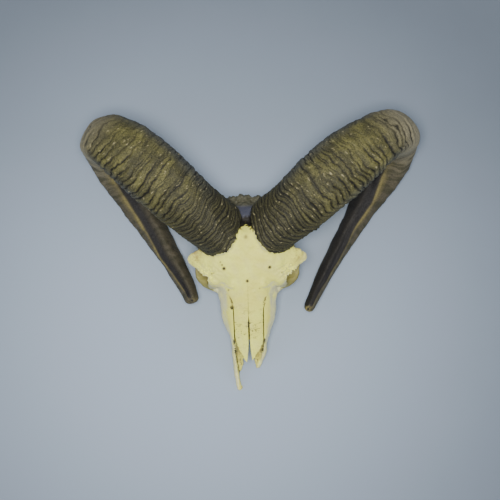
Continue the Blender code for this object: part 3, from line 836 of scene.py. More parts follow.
@dataclass(frozen=True)
class HornSheath:
    """One horn sheath: a wrinkled oval profile carried along an open flattened spiral.

    Places are in millimetres along the horn from its rim, and angles, in degrees, are
    counted around it from its upper edge. Cracks give a place, an angle, the angle that
    they reach to both sides, strength and width. Flakes give a place, an angle and a
    height, and the keel gives an angle at each place. Lean and gaps give the slant of the
    lines and their spacing at each place, and zones give the places where they start and
    where they are whole.
    """

    name: str
    side: Side
    outward: float
    lift: float
    start: float
    end: float
    drop: float
    reach: tuple[float, float]
    drift: tuple[float, float, float]
    centre: tuple[float, float, float]
    twist: tuple[float, float]
    rim_twist: float
    widths: tuple[float, ...]
    seed: int
    cracks: Rows
    flakes: Rows
    keel: Rows
    inner_light: float
    worn_tip: float
    rise: float = 98.0
    rise_power: float = 0.62
    upper_tilt: float = math.radians(10)
    drop_power: float = 0.5
    lower_tilt: float = math.radians(12)
    depths: tuple[float, ...] = (34, 34, 30, 24, 16, 9)
    egg: tuple[float, float] = (-0.27, 0.3)
    rim_skew: float = 10.0
    rim_fade: float = 0.1
    controls: int = 34
    tip_controls: int = 4
    rings: int = 600
    sides: int = 150
    lean: Rows = ((0, 9), (40, 7), (110, 8), (170, 11), (240, 9), (420, 0))
    fine_gaps: Rows = ((0, 3.3), (50, 3.5), (120, 3.9), (260, 3.4), (520, 3.8))
    bold_gaps: Rows = ((0, 5.4), (60, 6.2), (120, 7.6), (190, 9.0), (300, 7.0), (520, 5.5))
    rim_zone: tuple[float, float] = (34, 74)
    front_end: tuple[float, float] = (172, 222)
    keel_start: tuple[float, float] = (215, 300)
    bend_start: tuple[float, float] = (166, 214)
    arm_start: tuple[float, float] = (232, 335)
    slim: float = 14.0

    def rim_share(self, s: Array) -> Array:
        """How much of the rim's own shape is left at a place along the horn."""
        return np.exp(-(s / self.rim_fade) ** 2)

    def path(self, count: int) -> tuple[Array, ...]:
        """Centre line with its three directions.

        Formula: an angle runs evenly from start to end. The swing is reach times its
        cosine, the height is a power of its sine with a tilt, and the drift is a cubic in
        the share of the way, along the horn's outward direction.

        Args:
            count: number of places.

        Returns:
            Share of the way, centre line, direction along, outer direction, flank direction.
        """
        turn, lift = math.radians(self.outward), math.radians(self.lift)
        out = np.array([math.cos(turn) * math.cos(lift), -math.sin(turn) * math.cos(lift), math.sin(lift)])
        back = np.array([math.sin(turn), math.cos(turn), 0.0])
        s = np.linspace(0, 1, count)
        phase = np.radians(self.start + (self.end - self.start) * s)
        reach = self.reach[0] + (self.reach[1] - self.reach[0]) * s
        drift = self.drift[0] * s + self.drift[1] * s ** 2 + self.drift[2] * s ** 3
        swing = reach * np.cos(phase)
        wave = np.abs(np.sin(phase))
        upper = self.rise * wave ** self.rise_power - math.tan(self.upper_tilt) * (reach - swing)
        lower = -self.drop * wave ** self.drop_power + math.tan(self.lower_tilt) * (reach - swing)
        line = np.array(self.centre) + swing[:, None] * back + drift[:, None] * out
        line[:, 2] += np.where(phase > 0, upper, lower)
        along = directions(line)
        outer = np.cos(phase)[:, None] * back + np.sin(phase)[:, None] * np.array([0.0, 0.0, 1.0])
        outer = unit(outer - (outer * along).sum(1)[:, None] * along)
        flank = np.cross(along, outer)
        if flank[0] @ out < 0:
            flank = -flank
        twist = self.twist[0] + (self.twist[1] - self.twist[0]) * s
        twist = np.radians(twist + self.rim_twist * self.rim_share(s))[:, None]
        return (s, line, along, np.cos(twist) * outer + np.sin(twist) * flank,
                np.cos(twist) * flank - np.sin(twist) * outer)

    def control_rings(self, sides: int) -> Array:
        """Rings of the plain horn, as the solid model has them, mirrored to its side.

        Formula: each ring is centre + half depth * cos * outer + half width * sin * flank,
        with an egg shape that changes from the rim on, a skewed rim and a rounded tip.

        Args:
            sides: points around a ring.

        Returns:
            Array of rings by sides by three.
        """
        s, line, along, outer, flank = self.path(self.controls)
        fifths = np.linspace(0, 1, len(self.widths))
        half_width = smooth_table(np.column_stack([fifths, self.widths]), s)[:, 0]
        half_depth = smooth_table(np.column_stack([fifths, self.depths]), s)[:, 0]
        cap = np.linspace(0, 1, self.tip_controls + 1)[1:]
        line = np.vstack([line, line[-1] + (cap * half_depth[-1])[:, None] * along[-1]])
        shrink = np.sqrt(np.clip(1 - (0.94 * cap) ** 2, 0, 1))
        half_width, half_depth = (np.concatenate([half, half[-1] * shrink])
                                  for half in (half_width, half_depth))
        last = np.minimum(np.arange(len(line)), len(s) - 1)
        outer, flank, along = outer[last], flank[last], along[last]
        rim = self.rim_share(np.concatenate([s, np.ones(self.tip_controls)]))[:, None]
        egg = self.egg[1] + (self.egg[0] - self.egg[1]) * rim
        angle = np.linspace(0, FULL_TURN, sides, endpoint=False)
        depth = half_depth[:, None] * np.cos(angle)
        width = half_width[:, None] * np.sin(angle) * (1 + egg * np.cos(angle))
        rings = line[:, None] + depth[..., None] * outer[:, None] + width[..., None] * flank[:, None]
        rings -= (self.rim_skew * rim * np.cos(angle))[..., None] * along[:, None]
        rings[..., 0] *= self.side.value
        return rings

    def lines(self, place: Array, gaps: Rows, seed: int, spread: float) -> Array:
        """Count of uneven lines passed on the way along the horn.

        Formula: gaps from the table, each longer or shorter by a random share, are added
        up from a place before the rim, and the count is read between their ends.

        Args:
            place: millimetres along the horn, bent as the lines are.
            gaps: spacing of the lines in millimetres at several places along the horn.
            seed: seed of the unevenness.
            spread: share by which a gap may be shorter or longer.

        Returns:
            Line number, whole on each line.
        """
        table = np.array(gaps, float)
        start, steps = -30.0, 260
        draw = np.random.default_rng(seed).uniform(1 - spread, 1 + spread, steps)
        mean = np.interp(start + np.arange(steps) * table[0, 1], table[:, 0], table[:, 1])
        edges = start + np.concatenate([[0], np.cumsum(mean * draw)])
        return np.interp(place, edges, np.arange(steps + 1))

    def wrinkles(self, length: Array, angle: Array, radius: Array) -> tuple[Array, Marks]:
        """Depth of the wrinkles over the sheath, and where they are dark or light.

        Formula: lines across the horn are counted along a place that has been leaned and
        bent by smooth random fields. A groove is one minus the size of the sine of pi
        times the count, to a power that narrows it. Fine and bold lines both run near the
        rim. Further on the bold ones fold the lower side deeply, are broken up on the
        upper side, where plates lie between them, and are low past the bend. Runs and
        spells are random fields stretched along the lines, which break them up.

        Args:
            length: millimetres along the horn from its rim, one for each ring.
            angle: angle around, from the upper edge, one for each side.
            radius: mean half size of each ring.

        Returns:
            Depth to press in, in millimetres, and the marks that the material reads.
        """
        a, t = np.meshgrid(length, angle, indexing="ij")
        r = radius[:, None]
        plane = np.stack([a, r * np.cos(t), r * np.sin(t)], -1)
        seed = self.seed
        lean = straight_table(self.lean, length)[:, None] * np.cos(t)
        bend = 2.0 * Ripples(42.0, seed).at(plane * (0.5, 1.0, 1.0))
        crinkle = (0.75 * Ripples(15.0, seed + 1).at(plane * (0.6, 1.0, 1.0))
                   + 0.28 * Ripples(5.0, seed + 13).at(plane))
        bend += crinkle * (0.5 + 0.5 * ramp(a, 35, 95))
        u = a + lean - self.rim_skew * self.rim_share(a / length[-1]) * np.cos(t) + bend
        streak = np.stack([u, 0.2 * r * np.cos(t), 0.2 * r * np.sin(t)], -1)
        fine_count = self.lines(u, self.fine_gaps, seed + 2, 0.40)
        bold_count = self.lines(u, self.bold_gaps, seed + 3, 0.34)
        fine, bold = (1 - np.abs(np.sin(math.pi * count)) for count in (fine_count, bold_count))
        run = ramp(Ripples(9.0, seed + 6, 40).at(streak), -0.7, 0.5)
        spell = ramp(Ripples(7.0, seed + 5, 40).at(streak), -0.4, 0.7)
        front = 1 - ramp(a, *self.front_end)
        near = 1 - ramp(a - 8 * np.cos(t), *self.rim_zone)
        lower = ramp(np.sin(t + 0.15), 0.05, 0.85)
        fold = lower * ramp(a, 12, 50) * front
        plate = ramp(a - 10 * np.sin(t), 110, 140) * front * ramp(np.cos(t), -0.2, 0.6)
        middle = front * (1 - near)
        fine_cut = fine ** 1.8 * (0.75 * middle * spell + 0.70 * near)
        bold_cut = bold ** 1.5 * (2.4 * fold + 0.9 * near + (1.1 - 0.4 * plate) * middle * run)
        depth = 0.55 + 0.95 * fine_cut + bold_cut + 0.16 * fine ** 1.5 * (1 - front)
        far_fold = (1 - front) * ramp(np.cos(t), -0.3, 0.5) * (1 - 0.75 * ramp(a, 300, 470))
        depth += 0.85 * far_fold * bold ** 1.5 * (0.5 + 0.5 * run)
        swell, dimples = Ripples(22.0, seed + 7).at(plane), Ripples(6.0, seed + 8).at(plane)
        depth += 0.30 * swell + 0.12 * dimples * (0.4 + front)
        thin, wide = ramp(fine, 0.46, 0.84), ramp(bold, 0.52, 0.86)
        # Darkness of the grooves and folds, partly painted shade deep in them.
        groove = np.maximum.reduce([
            thin * np.clip(1.1 * near + 0.85 * middle * spell * (1 - 0.5 * plate), 0, 1),
            wide * np.clip(fold + 0.9 * near + (0.95 - 0.45 * plate) * middle * run, 0, 1),
            0.34 * ramp(fine, 0.45, 0.9) * (1 - front) * (0.3 + 0.7 * spell),
            0.5 * wide * far_fold * (0.4 + 0.6 * run)])
        for place, centre, spread, strength, width in self.cracks:
            off = u - place - 1.1 * Ripples(9.0, seed + 9).at(plane)
            reach = np.cos(np.clip(off_angle(t, math.radians(centre)), -1.5, 1.5))
            split = hump(off, 0, width) * ramp(reach, math.cos(math.radians(spread)), 1.0) * strength
            depth += 1.6 * split
            groove = np.maximum(groove, split)
        band = 0.75 * ramp(a, 215, 275) * ramp(Ripples(8.0, seed + 14, 40).at(streak), -0.5, 1.4)
        shades = np.random.default_rng(seed + 10).uniform(-1, 1, 400)
        ridge = shades[np.clip(bold_count.astype(int), 0, len(shades) - 1)]
        patches = np.tanh(1.2 * Ripples(11.0, seed + 11, 40).at(streak))
        tone = 0.5 + 0.28 * patches + 0.16 * ridge + 0.32 * plate
        splinters = Ripples(2.5, seed + 12, 60).at(streak * (1, 1.8, 1.8))
        chip = ramp(splinters, 1.7, 2.5) * (1 - thin) * (1 - wide) * front
        return depth, {"groove": groove, "tone": tone, "chip": chip, "band": band}

    def ridge(self, length: Array, angle: Array) -> tuple[Array, Marks]:
        """Keel along the far limb: both of its flanks are pressed in.

        Formula: the angle from the keel's line decides the press, two bells on either
        side of it, the painted shade of the inner face, which starts at the keel, and a
        painted highlight along the keel and beside it on the outer face.

        Args:
            length: millimetres along the horn from its rim, one for each ring.
            angle: angle around, from the upper edge, one for each side.

        Returns:
            Depth to press in, in millimetres, and the marks that the material reads.
        """
        a, t = np.meshgrid(length, angle, indexing="ij")
        straight = np.stack([a, 0 * a], -1)
        on_keel = np.clip(length, self.keel[0][0], self.keel[-1][0])
        line = np.radians(smooth_table(self.keel, on_keel))[:, :1]
        line = line + 0.015 * Ripples(50.0, self.seed + 20).at(straight)
        off = np.degrees(off_angle(t, line))
        there = ramp(a, *self.keel_start)
        depth = there * (2.6 * hump(off, 34, 22) + 1.8 * hump(off, -34, 20))
        shade = ramp(a, 285, 325) * ramp(off, -1.0, 5.0) * (1 - ramp(off, 125, 155))
        shade = shade * (1 - self.inner_light * ramp(off, 22, 60))
        # Painted highlight: a pale line along the keel and a paler strip beside it on the outer face, as the
        # edge catches the light.
        keel_highlight = hump(off, -3.0, 6.0) + 0.40 * ramp(off, -34, -14) * (off < 0)
        keel_highlight = there * (1 - 0.5 * ramp(a, 390, 470)) * keel_highlight
        keel_highlight *= 0.35 + 0.65 * ramp(Ripples(40.0, self.seed + 21).at(straight), -1.0, 0.6)
        return depth, {"shade": shade, "keel": keel_highlight}

    def surface(self) -> tuple[Array, Marks]:
        """Fine rings with their wrinkles.

        Formula: splines through the plain rings, then each point moves towards the middle
        of its ring by the depth of the wrinkles and the keel, and the rim's ring moves
        along the horn by a random fray.

        Returns:
            The rings, and the marks that the material reads.
        """
        plain = self.control_rings(self.sides)
        length = lengths(plain.mean(1))
        share = np.linspace(0, 1, self.rings)
        at = length[-1] * (0.72 * share + 0.28 * share ** 2)
        rings = spline(length, plain.reshape(len(plain), -1), at).reshape(self.rings, self.sides, 3)
        centre = rings.mean(1, keepdims=True)
        radius = np.linalg.norm(rings - centre, axis=2).mean(1)
        angle = np.linspace(0, FULL_TURN, self.sides, endpoint=False)
        depth, marks = self.wrinkles(at, angle, radius)
        keel_depth, keel_marks = self.ridge(at, angle)
        inward = unit(centre - rings)
        depth = (depth + keel_depth) * np.minimum(1, radius / self.slim)[:, None]
        a, t = np.meshgrid(at, angle, indexing="ij")
        for place, middle, height in self.flakes:
            depth -= height * (hump(a, place, 3.5) * hump(off_angle(t, math.radians(middle)), 0, 0.16))
        rings = rings + inward * depth[..., None]
        along = directions(centre[:, 0])
        frayed = (0.6 * Ripples(6.0, self.seed + 30).at(rings)
                  + 0.3 * Ripples(2.6, self.seed + 31).at(rings))
        rings = rings + (hump(at, 0, 2.2)[:, None] * frayed)[..., None] * along[:, None]
        grey = np.maximum(0.85 * ramp(-np.sin(t), 0.40, 0.9) * ramp(a, 30, 80),
                          0.6 * ramp(np.sin(t), 0.70, 1.0) * ramp(a, 60, 110))
        worn = ramp(a, at[-1] - 5, at[-1] - 1) * ramp(Ripples(5.0, self.seed + 32).at(rings), -0.2, 0.8)
        return rings, {**marks, **keel_marks,
                       "base": 1 - ramp(a + 10 * np.cos(t), 30, 95),
                       "grey": grey * (1 - ramp(a, 170, 230)),
                       "bend": ramp(a + 14 * np.cos(t), *self.bend_start),
                       # Painted shade: the far limb is painted darker.
                       "arm": ramp(a, *self.arm_start),
                       "worn": worn * self.worn_tip}

    def build(self, resting: Resting, finish: bpy.types.Material) -> bpy.types.Object:
        """Make the sheath, dress it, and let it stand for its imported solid.

        Args:
            resting: where the skull rests.
            finish: material of the sheath.

        Returns:
            The sheath.
        """
        rings, marks = self.surface()
        points, faces = skin(rings)
        piece = new_object(self.name + "_sheath", (points, faces))
        move_points(piece.data, resting.points(points))
        for mark, values in marks.items():
            flat = np.concatenate([values.ravel(), [values[0].mean(), values[-1].mean()]])
            paint(piece.data, mark, flat)
        piece.data.materials.append(finish)
        piece.data.shade_smooth()
        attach(piece, "root")
        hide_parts(self.name)
        return piece


# ---------------------------------------------------------------------------
# skull bones
# ---------------------------------------------------------------------------

@dataclass(frozen=True)
class SkullForms:
    """Simple solids that melt into the skull, and the hollows that are cut from it.

    Slices give y, top, bottom and half width. Rods give x, y, z, half width and half
    height. Rounded masses give a centre and half sizes. The brow gives x, front, back,
    height and thickness, the tooth row gives a distance from the midline at each y, and
    teeth give a length and a width. All of them are in millimetres.
    """

    face: Rows = ((50, 48, 16, 18.8), (56, 60, 14, 20.4), (62, 69, 12, 21.6), (70, 78, 10, 23.8),
                  (80, 84, 9, 27.2), (92, 90, 9, 31.8), (104, 95, 9, 33.2), (118, 101, 9, 33.8),
                  (130, 106, 10, 35.5), (142, 111, 14, 35.0), (152, 115, 24, 30.0))
    braincase: Rows = ((146, 113, 66, 22), (160, 118, 48, 24), (175, 123, 40, 29), (190, 126, 37, 34),
                       (202, 121, 36, 35.5), (212, 108, 36, 36), (222, 96, 37, 35), (231, 89, 40, 31),
                       (237, 84, 46, 24))
    brow: Rows = ((0, 138, 196, 108, 24), (24, 136, 196, 107, 22), (38, 137, 190, 103, 19),
                  (47, 144, 184, 99, 15), (55, 149, 178.5, 96, 12.5), (62, 155, 175, 93, 10.5),
                  (68, 160, 171.5, 91, 8), (71.5, 163, 169, 90, 6))
    brow_slope: float = 0.28
    jugal: Rows = ((22, 112, 36, 6, 12), (29, 122, 40, 6, 13), (38, 132, 45, 7, 12),
                   (49, 138, 48.5, 8, 9.5), (56.5, 145, 50, 6.5, 8), (58.5, 154, 51, 5, 7),
                   (59, 164, 52, 4.4, 6.5), (56, 174, 53, 4.0, 6), (51, 184, 54, 4.2, 6),
                   (43, 194, 55, 5, 7), (32, 201, 56, 7, 9))
    lacrimal: Rows = ((46, 138, 54, 6, 7), (42, 136.5, 66, 7, 8), (39.5, 136.5, 79, 8, 8),
                      (38, 138, 91, 8.5, 7.5), (39, 144, 99, 8, 6.5))
    postorbital: Rows = ((65.5, 164, 91, 3.6, 5), (65, 165, 81, 3.6, 5), (63, 166, 69, 3.6, 5.5),
                         (59.5, 165, 55, 3.8, 6))
    nuchal_crest: Rows = ((36, 222, 60, 5, 6), (32, 228, 70, 4, 5), (24, 233.5, 80, 3.6, 4.4),
                          (12, 236.5, 86.5, 3.6, 4.4), (0, 237.8, 88.5, 3.8, 4.6))
    paracondyle: Rows = ((27, 221, 56, 5, 8), (27.5, 226, 44, 4.4, 7), (26.5, 225, 31, 3.4, 6),
                         (24.5, 222, 20, 2.2, 4))
    mastoid: Rows = ((24, 218, 52, 9, 12), (33, 216, 53, 7, 9), (40, 212, 54, 4.5, 5.5))
    skull_base: Rows = ((0, 234, 44, 12, 7), (0, 218, 40, 14, 6), (0, 200, 38, 12, 6), (0, 178, 38, 9, 6),
                        (0, 158, 44, 8, 12))
    pterygoid: Rows = ((13, 141, 20, 2.6, 9), (12.5, 154, 25, 2.4, 12), (11.5, 168, 30, 2.2, 11),
                       (10.5, 180, 36, 2.2, 7))
    orbit_wall: Rows = ((17, 138, 74, 14, 34), (16, 154, 78, 10, 32), (18, 172, 80, 12, 34))
    condyle: Rows = ((12.5, 231.5, 45), (8.5, 8.5, 11))
    bulla: Rows = ((20, 207, 33), (8, 11, 9))
    cheek: Rows = ((24, 122, 58), (12, 14, 28))
    brain_dome: Rows = ((0, 203, 76), (36, 33, 38))
    premaxilla_rim: Rows = ((19, 66, 50, 2.6, 12), (18.8, 54, 38, 2.6, 12), (18.4, 42, 28, 2.5, 9.5),
                            (17.4, 30, 21, 2.6, 7.5), (15.8, 17, 16, 2.7, 5.5), (14.2, 7, 12.5, 2.8, 4.4),
                            (13.3, 4.2, 11.6, 4.6, 4.6), (12.9, 2.2, 11, 4.6, 4.2))
    trough: Rows = ((12.5, 78, 46, 6.5, 2.8), (12.5, 66, 42, 6.5, 2.8), (13, 56, 36, 6, 2.4),
                    (12.8, 46, 29, 5.6, 2.2), (12.8, 36, 22, 4.4, 2.0), (13.4, 27, 17.5, 2.4, 1.8))
    broken_trough: Rows = ((13, 78, 46, 6.5, 2.8), (13, 66, 42, 6.5, 2.8), (13, 56, 36, 6.2, 2.4),
                           (11.6, 46, 29, 5.6, 2.2), (10, 37, 23, 3.8, 2.0), (9.4, 29, 18.5, 1.8, 1.6))
    premaxilla_floor: Rows = ((13, 66, 17, 7, 2.4), (14, 50, 16, 5, 2.2), (14, 36, 14.5, 4, 2.0),
                              (13.5, 24, 13, 2.6, 1.8))
    broken_rim: Rows = ((19, 66, 50, 2.6, 12), (18.6, 54, 37, 2.6, 10), (16, 44, 27, 2.4, 8),
                        (12.5, 35, 20, 2.0, 5), (10.4, 29.5, 17, 1.5, 2.4))
    broken_floor: Rows = ((13, 66, 17, 7, 2.4), (13, 50, 16, 5, 2.2), (11.5, 38, 15.5, 3, 2.0),
                          (10.4, 30.5, 16, 1.4, 1.5))
    orbit: Rows = ((55, 152, 70.5), (27, 18.5, 18))
    nasal_cavity: Rows = ((36, 90, 19, 11), (44, 90, 19, 13.5), (54, 90, 19, 15.2), (62, 74, 19, 16.4),
                          (80, 74, 19, 17.5), (96, 80, 19, 18), (112, 84, 24, 14), (122, 80, 36, 7))
    palate_vault: Rows = ((40, 11, -12, 12), (60, 11, -12, 11), (80, 14, -12, 13), (110, 15, -12, 15.5),
                          (140, 15, -12, 15), (158, 18, -12, 13))
    choana: Rows = ((138, 30, -8, 9), (150, 36, -8, 9.6), (166, 34, -8, 9), (176, 31, -8, 7.5))
    foramen_magnum: Rows = ((0, 222, 57, 8.5, 8), (0, 231, 56, 9.5, 9), (0, 254, 54, 13, 12))
    incisive_gap: Rows = ((-8, 60, -12, 7.2), (48, 60, -12, 6.4), (62, 60, -12, 4.5), (72, 40, -12, 1.5))
    tooth_row_front: float = 68.0
    tooth_row: Rows = ((68, 16.2), (84, 20.3), (95, 22.6), (110, 24.2), (125, 24.8), (146, 24.0))
    teeth: Rows = ((8, 8), (10, 9.5), (10.5, 11), (13, 12), (16.5, 12.5), (19, 11.5))
    tooth_height: float = 17.0
    tooth_edge: float = 1.6
    molar_length: float = 11.0
    tooth_neck: float = 3.0
    tooth_wear: float = 0.8
    lobe_overlap: float = 0.15
    pedicle_shrink: tuple[float, float] = (0.95, 0.72)
    pedicle_sink: tuple[float, float, float] = (-5.0, -6.0, -32.0)

    def brow_shelf(self, side: Side) -> Shape:
        """Shelf over one orbit.

        Formula: rings in y and z are carried outwards along x, each the middle of the
        shelf + half its size * a rounded outline, and rise to the back by the slope.

        Args:
            side: side of the skull.

        Returns:
            Points and faces.
        """
        at = np.linspace(self.brow[0][0], self.brow[-1][0], 40)
        front, back, middle, thickness = smooth_table(self.brow, at).T
        along, up = outline(40, 2.4)
        rings = np.empty((len(at), len(along), 3))
        rings[..., 0] = at[:, None] * side.value
        offset = ((back - front) / 2)[:, None] * along
        rings[..., 1] = ((front + back) / 2)[:, None] + offset
        rings[..., 2] = middle[:, None] + self.brow_slope * offset + (thickness / 2)[:, None] * up
        return skin(rings)

    def pedicle(self, horn: HornSheath) -> Shape:
        """Bony core under a horn: the rim's ring, shrunk and sunk into the forehead.

        Args:
            horn: the horn that stands on it.

        Returns:
            Points and faces.
        """
        rim = horn.control_rings(CORE_SIDES)[0]
        centre = rim.mean(0)
        sink = np.array(self.pedicle_sink) * (horn.side.value, 1, 1)
        start, end = self.pedicle_shrink
        depth = np.linspace(0, 1, 9)[:, None, None]
        return skin(centre + (rim - centre) * (start + (end - start) * depth) + sink * depth)

    def cheek_teeth(self, side: Side) -> list[Shape]:
        """Cheek teeth of one side, each with one lobe, or two for a molar.

        Args:
            side: side of the skull.

        Returns:
            One shape for each lobe.
        """
        made = []
        start = self.tooth_row_front
        for length, width in self.teeth:
            lobes = 1 if length < self.molar_length else 2
            lobe = length / lobes
            for number in range(lobes):
                y = start + (number + 0.5) * lobe
                x = float(smooth_table(self.tooth_row, np.array([y]))[0, 0])
                half = lobe / 2 + self.lobe_overlap
                rows = ((x, y, self.tooth_height, width / 2, half), (x, y, self.tooth_neck, width / 2, half),
                        (x, y, self.tooth_edge, width / 2 - self.tooth_wear, half - 0.5))
                made.append(rod(rows, side, steps=4, sides=28))
            start += length
        return made

    def solids(self, horns: list[HornSheath]) -> list[Shape]:
        """Every form that melts into the bones.

        Args:
            horns: the horns that stand on the forehead.

        Returns:
            The shapes.
        """
        forms = [slices(self.face, 2.6), slices(self.braincase, 2.2)]
        forms += [ball(self.brain_dome), rod(self.skull_base)]
        for side in Side:
            forms.append(self.brow_shelf(side))
            forms += [rod(rows, side) for rows in (
                self.jugal, self.lacrimal, self.postorbital, self.nuchal_crest, self.paracondyle,
                self.mastoid, self.pterygoid, self.orbit_wall)]
            forms += [ball(shape, side) for shape in (self.condyle, self.bulla, self.cheek)]
        forms += [rod(rows, Side.RIGHT) for rows in (self.premaxilla_rim, self.premaxilla_floor)]
        forms += [rod(rows, Side.LEFT) for rows in (self.broken_rim, self.broken_floor)]
        return forms + [self.pedicle(horn) for horn in horns]

    def late_solids(self) -> list[Shape]:
        """Teeth and troughs, which grow from the bones once these are hollow."""
        teeth = [tooth for side in Side for tooth in self.cheek_teeth(side)]
        return teeth + [rod(self.trough, Side.RIGHT), rod(self.broken_trough, Side.LEFT)]

    def hollows(self) -> list[tuple[Shape, bool]]:
        """Nose, palate, back of the palate, incisive gap, spinal opening and orbits.

        Returns:
            Each shape, and that its faces still have to be turned outwards.
        """
        shapes = [slices(rows, squareness) for rows, squareness in (
            (self.nasal_cavity, 2.6), (self.palate_vault, 2.4), (self.choana, 2.4), (self.incisive_gap, 3.0))]
        shapes += [rod(self.foramen_magnum)] + [ball(self.orbit, side, 40, 52) for side in Side]
        return [(shape, True) for shape in shapes]


@dataclass(frozen=True)
class NasalRoof:
    """Crown line of the skull and the two nasal bones that lie in it.

    The tables give a height or a half width at each y. From row behind_tip of the outer
    edge on, both bones share it, and before that each has a tip of its own.
    """

    crown: Rows = ((30, 62), (45, 69.5), (60, 76), (90, 90), (120, 103), (136, 109.5), (150, 115),
                   (165, 120), (180, 124.5), (190, 126), (200, 123), (212, 111), (224, 98), (234, 90),
                   (244, 85))
    outer: Rows = ((37.5, 5.4), (42, 8.2), (50, 12.6), (58, 15.8), (64, 17.0), (84, 17.2), (104, 17.6),
                   (112, 19.5), (118, 19.0), (126, 12.0), (133, 5.5), (137.5, 2.0))
    behind_tip: int = 6
    left_tip: Rows = ((41.5, 3.8), (44, 5.2), (49.5, 8.6), (56, 13.0), (64, 16.4), (70, 17.1), (84, 17.2))
    right_tip: Rows = ((39.8, 4.0), (43, 6.5), (52, 10.6), (60, 13.9), (67, 16.0), (74, 17.0), (84, 17.2))
    tip_thickness: Rows = ((37.5, 0.5), (44, 0.8), (60, 1.0))
    inner: Rows = ((39, 3.3), (45, 2.6), (52, 1.8), (60, 1.15), (66, 0.9), (88, 0.85), (92, 0.4), (97, 0.06),
                   (137.5, 0.03))
    gap: Rows = ((20, 1.4), (46, 1.3), (60, 1.15), (100, 1.1), (108, 0.7), (114, 0.12), (150, 0.1))
    thickness: float = 3.0
    droop: float = 4.2
    droop_at: float = 17.0
    room_ahead: float = 8.0
    room_above: float = 14.0
    room_under: float = 0.3
    room_widens: float = 22.0

    def height(self, x: Array, y: Array) -> Array:
        """Height of the roof.

        Formula: the crown's height at y, less a droop that grows with the square of the
        distance from the midline.

        Args:
            x: distances from the midline.
            y: distances from the tip of the muzzle, in an array of the same shape.

        Returns:
            Heights in an array of the same shape.
        """
        crown = smooth_table(self.crown, y.ravel())[:, 0].reshape(y.shape)
        return crown - self.droop * (x / self.droop_at) ** 2

    def slot(self) -> Shape:
        """Room for both bones, open to the front.

        Formula: rings with a drooping floor and a high roof are carried along y.

        Returns:
            Points and faces.
        """
        start, end = self.outer[0][0], self.outer[-1][0]
        at = np.linspace(start - self.room_ahead, end + 0.2, 160)
        wide = smooth_table(self.outer, np.clip(at, start + self.room_widens, None))[:, 0]
        wide = wide + smooth_table(self.gap, at)[:, 0]
        x = wide[:, None] * np.linspace(-1, 1, 15)
        y = np.broadcast_to(at[:, None], x.shape)
        floor = self.height(x, y) - self.thickness - self.room_under
        roof = self.height(0 * x, y) + self.room_above
        low = np.stack([x, y, floor], axis=-1)
        high = np.stack([x, y, roof], axis=-1)[:, ::-1]
        return skin(np.concatenate([low, high], axis=1))

    def plate(self, side: Side) -> tuple[Array, Marks]:
        """One nasal bone: an arched plate with rounded edges, a worn tip and crackled skin.

        Formula: at each y the section runs across the top from the inner edge to the
        outer edge and back along the underside, following the roof's height. The edges
        are rounded by pulling the section in where it turns.

        Args:
            side: side of the skull.

        Returns:
            The sections as rings, and the dark marks on them: cracks, a suture and painted shade.
        """
        rows, columns = 320, 36
        tip = self.left_tip if side is Side.LEFT else self.right_tip
        at = tip[0][0] + (self.outer[-1][0] - tip[0][0]) * np.linspace(0, 1, rows)
        inner = smooth_table(self.inner, at)[:, 0]
        outer = smooth_table(tip + self.outer[self.behind_tip:], at)[:, 0]
        ragged = Ripples(5.0, 41 + side.value).at(np.column_stack([at, 0 * at]))
        outer = outer + np.where(at < 62, 0.35 * ragged, 0.0) * ramp(at, 38, 44)
        across = 0.5 - 0.5 * np.cos(np.linspace(0, math.pi, columns))
        rim = 1 - np.sqrt(np.clip(1 - (2 * across - 1) ** 4, 0, 1))
        x = inner[:, None] + (outer - inner)[:, None] * across
        y = np.broadcast_to(at[:, None], x.shape)
        roof = self.height(x, y)
        thick = self.thickness * straight_table(self.tip_thickness, at)[:, None]
        place = np.stack([x * side.value, y, roof], -1)
        wear = 0.10 * Ripples(7.0, 51).at(place) + 0.05 * Ripples(2.4, 52).at(place)
        crackle = self.crackle(place)
        top = roof + wear - 0.35 * crackle - rim * (0.45 * (1 - ramp(y, 100, 112)))
        under = roof - thick + 0.5 * rim
        upper = np.stack([x, y, top], -1)
        lower = np.stack([x, y, under], -1)[:, ::-1]
        rings = np.concatenate([upper, lower], axis=1)
        rings[..., 0] *= side.value
        # Painted shade: where the seams beside a nasal bone are open, its edges and its underside are painted
        # dark; the cracks and the suture are the bone's own.
        open_seam = 1 - ramp(at, 97, 112)[:, None]
        walls = (across < 0.004) * ramp(-at, -97, -91)[:, None] + (across > 0.996) * open_seam
        suture = 0.45 * (across < 0.012) * ramp(at, 88, 96)[:, None]
        lid = np.maximum.reduce([0.8 * crackle, suture, 0.95 * walls])
        underside = np.broadcast_to(0.9 * open_seam, lid.shape)
        return rings, {"shade_and_dirt": np.concatenate([lid, underside], axis=1)}

    def crackle(self, place: Array) -> Array:
        """Fine cracks across the nasal bones, strongest halfway down them.

        Formula: lines where a stretched random field crosses nought, and a second set
        along the bone, both faded to a band of y.

        Args:
            place: places on the bone.

        Returns:
            Depth of the cracks, from 0 to 1.
        """
        band = hump(place[..., 1], 82, 22)
        cross = Ripples(7.0, 61).at(place * (0.45, 1.9, 0.0))
        down = Ripples(8.0, 62).at(place * (1.7, 0.5, 0.0))
        lines = np.exp(-(cross / 0.14) ** 2) + 0.7 * np.exp(-(down / 0.11) ** 2)
        patch = ramp(Ripples(12.0, 63).at(place), -0.2, 0.8)
        return np.clip(1.5 * lines * patch, 0, 1) * band


